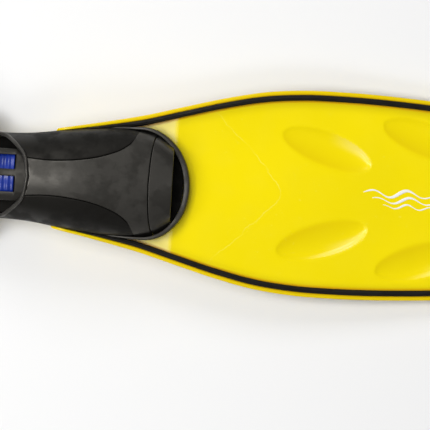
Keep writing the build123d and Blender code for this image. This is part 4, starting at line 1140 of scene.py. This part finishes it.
# ---------------------------------------------------------------- emblem
class SWIMFIN_OT_emblem(bpy.types.Operator):
    """Builds the white wave emblem printed on the blade"""

    bl_idname = "swimfin.emblem"
    bl_label = "Emblem"

    def execute(self, context):
        colours = context.scene.fin_colours
        points, faces = [], []
        strokes = ((186, 262, 5.5, 4.2, 3.6, 0.0), (196, 270, -1.5, 3.6, 2.8, 0.9),
                   (208, 262, -8.0, 2.6, 2.0, 1.8))
        for x0, x1, y0, swell, width, phase in strokes:
            t = np.linspace(0, 1, 90)
            x = x0 + (x1 - x0) * t
            y = y0 + swell * np.sin(t * 4 * pi + phase) * (0.5 + 0.5 * np.sin(pi * t))
            swelling = 0.65 + 0.35 * np.sin(t * 4 * pi + phase + 1.2)
            body = width / 2 * np.sin(pi * t) ** 0.6 * swelling + 0.12
            slope = np.gradient(y, x)
            nx, ny = -slope / np.hypot(slope, 1), 1 / np.hypot(slope, 1)
            rows = np.array([-1, -0.5, 0, 0.5, 1])
            px = x[:, None] + nx[:, None] * body[:, None] * rows
            py = y[:, None] + ny[:, None] * body[:, None] * rows
            start = sum(len(p) for p in points)
            points.append(np.stack([px, py, blade_line(px) + 0.12], -1).reshape(-1, 3))
            faces.append(quads(90, 5) + start)
        obj = mesh_object("wave_emblem", np.concatenate(points), np.concatenate(faces))
        if obj.data.polygons[0].normal.z < 0:
            obj.data.flip_normals()
        wall = obj.modifiers.new("print", "SOLIDIFY")
        wall.thickness = 0.18 * MM
        settle(obj)
        finish_piece(obj, emblem_material(colours), "fin", "blade")
        return {"FINISHED"}


# ---------------------------------------------------------------- stage
class SWIMFIN_OT_stage(bpy.types.Operator):
    """Builds the floor, lights and the overhead camera"""

    bl_idname = "swimfin.stage"
    bl_label = "Stage"

    def execute(self, context):
        size = 30.0
        floor = bpy.data.meshes.new("floor")
        corners = [(x * size, y * size, 0) for x, y in ((-1, -1), (1, -1), (1, 1), (-1, 1))]
        floor.from_pydata(corners, [], [(0, 1, 2, 3)])
        ground = bpy.data.objects.new("floor", floor)
        ground.location.z = -0.0003
        context.scene.collection.objects.link(ground)
        floor.materials.append(floor_material())
        self.light("softbox", (-1.15, 0.1, 3.9), 2.5, 72)
        self.light("side", (-2.3, 0.1, 2.9), 1.2, 48)
        self.light("key", (-0.6, 3.0, 2.5), 1.5, 40)
        self.light("fill", (-1.8, -2.3, 2.6), 1.1, 25)
        world = bpy.data.worlds.new("studio")
        context.scene.world = world
        world.use_nodes = True
        background = world.node_tree.nodes["Background"]
        background.inputs["Color"].default_value = (1.0, 1.0, 1.0, 1.0)
        background.inputs["Strength"].default_value = 0.15
        context.scene.view_settings.view_transform = "Standard"
        self.camera(context)
        return {"FINISHED"}

    def light(self, name, place, size, power):
        """A square area light aimed at the fin's middle."""
        lamp = bpy.data.lights.new(name, "AREA")
        lamp.size = size
        lamp.energy = power
        obj = bpy.data.objects.new(name, lamp)
        obj.location = place
        obj.rotation_euler = (-Vector(place)).to_track_quat("-Z", "Y").to_euler()
        bpy.context.scene.collection.objects.link(obj)

    def camera(self, context):
        """Straight above the foot pocket and blade, rolled a little about the upright."""
        view = bpy.data.cameras.new("overhead")
        distance, field = 7.0, 0.460
        view.sensor_width = 36.0
        view.lens = view.sensor_width * distance / field
        view.clip_end = 100
        camera = bpy.data.objects.new("overhead", view)
        centre = Vector(((TOE + 29) * MM, -28.7 * MM, 0.03))
        camera.location = centre + Vector((0, 0, distance))
        camera.rotation_euler = (0, 0, radians(3.5))
        context.scene.collection.objects.link(camera)
        context.scene.camera = camera


# ---------------------------------------------------------------- add-on
PIECES = (SWIMFIN_OT_blade, SWIMFIN_OT_ribs, SWIMFIN_OT_pocket, SWIMFIN_OT_toe_rim, SWIMFIN_OT_insole,
          SWIMFIN_OT_tongue, SWIMFIN_OT_strap, SWIMFIN_OT_hardware, SWIMFIN_OT_emblem, SWIMFIN_OT_stage)


class SWIMFIN_PT_panel(bpy.types.Panel):
    """Lists the fin's pieces"""

    bl_idname = "SWIMFIN_PT_panel"
    bl_label = "Swim Fin"
    bl_space_type = "VIEW_3D"
    bl_region_type = "UI"
    bl_category = "Swim Fin"

    def draw(self, context):
        for group in (context.scene.fin_sizes, context.scene.fin_colours):
            for name in group.bl_rna.properties.keys():
                if name not in ("rna_type", "name"):
                    self.layout.prop(group, name)
        for piece in PIECES:
            self.layout.operator(piece.bl_idname)


CLASSES = (FinSizes, FinColours, *PIECES, SWIMFIN_PT_panel)


def register():
    for cls in CLASSES:
        bpy.utils.register_class(cls)
    bpy.types.Scene.fin_sizes = PointerProperty(type=FinSizes)
    bpy.types.Scene.fin_colours = PointerProperty(type=FinColours)


def unregister():
    del bpy.types.Scene.fin_colours
    del bpy.types.Scene.fin_sizes
    for cls in reversed(CLASSES):
        bpy.utils.unregister_class(cls)


def main():
    register()
    for piece in PIECES:
        group, name = piece.bl_idname.split(".")
        getattr(getattr(bpy.ops, group), name)()


if __name__ == "__main__":
    main()
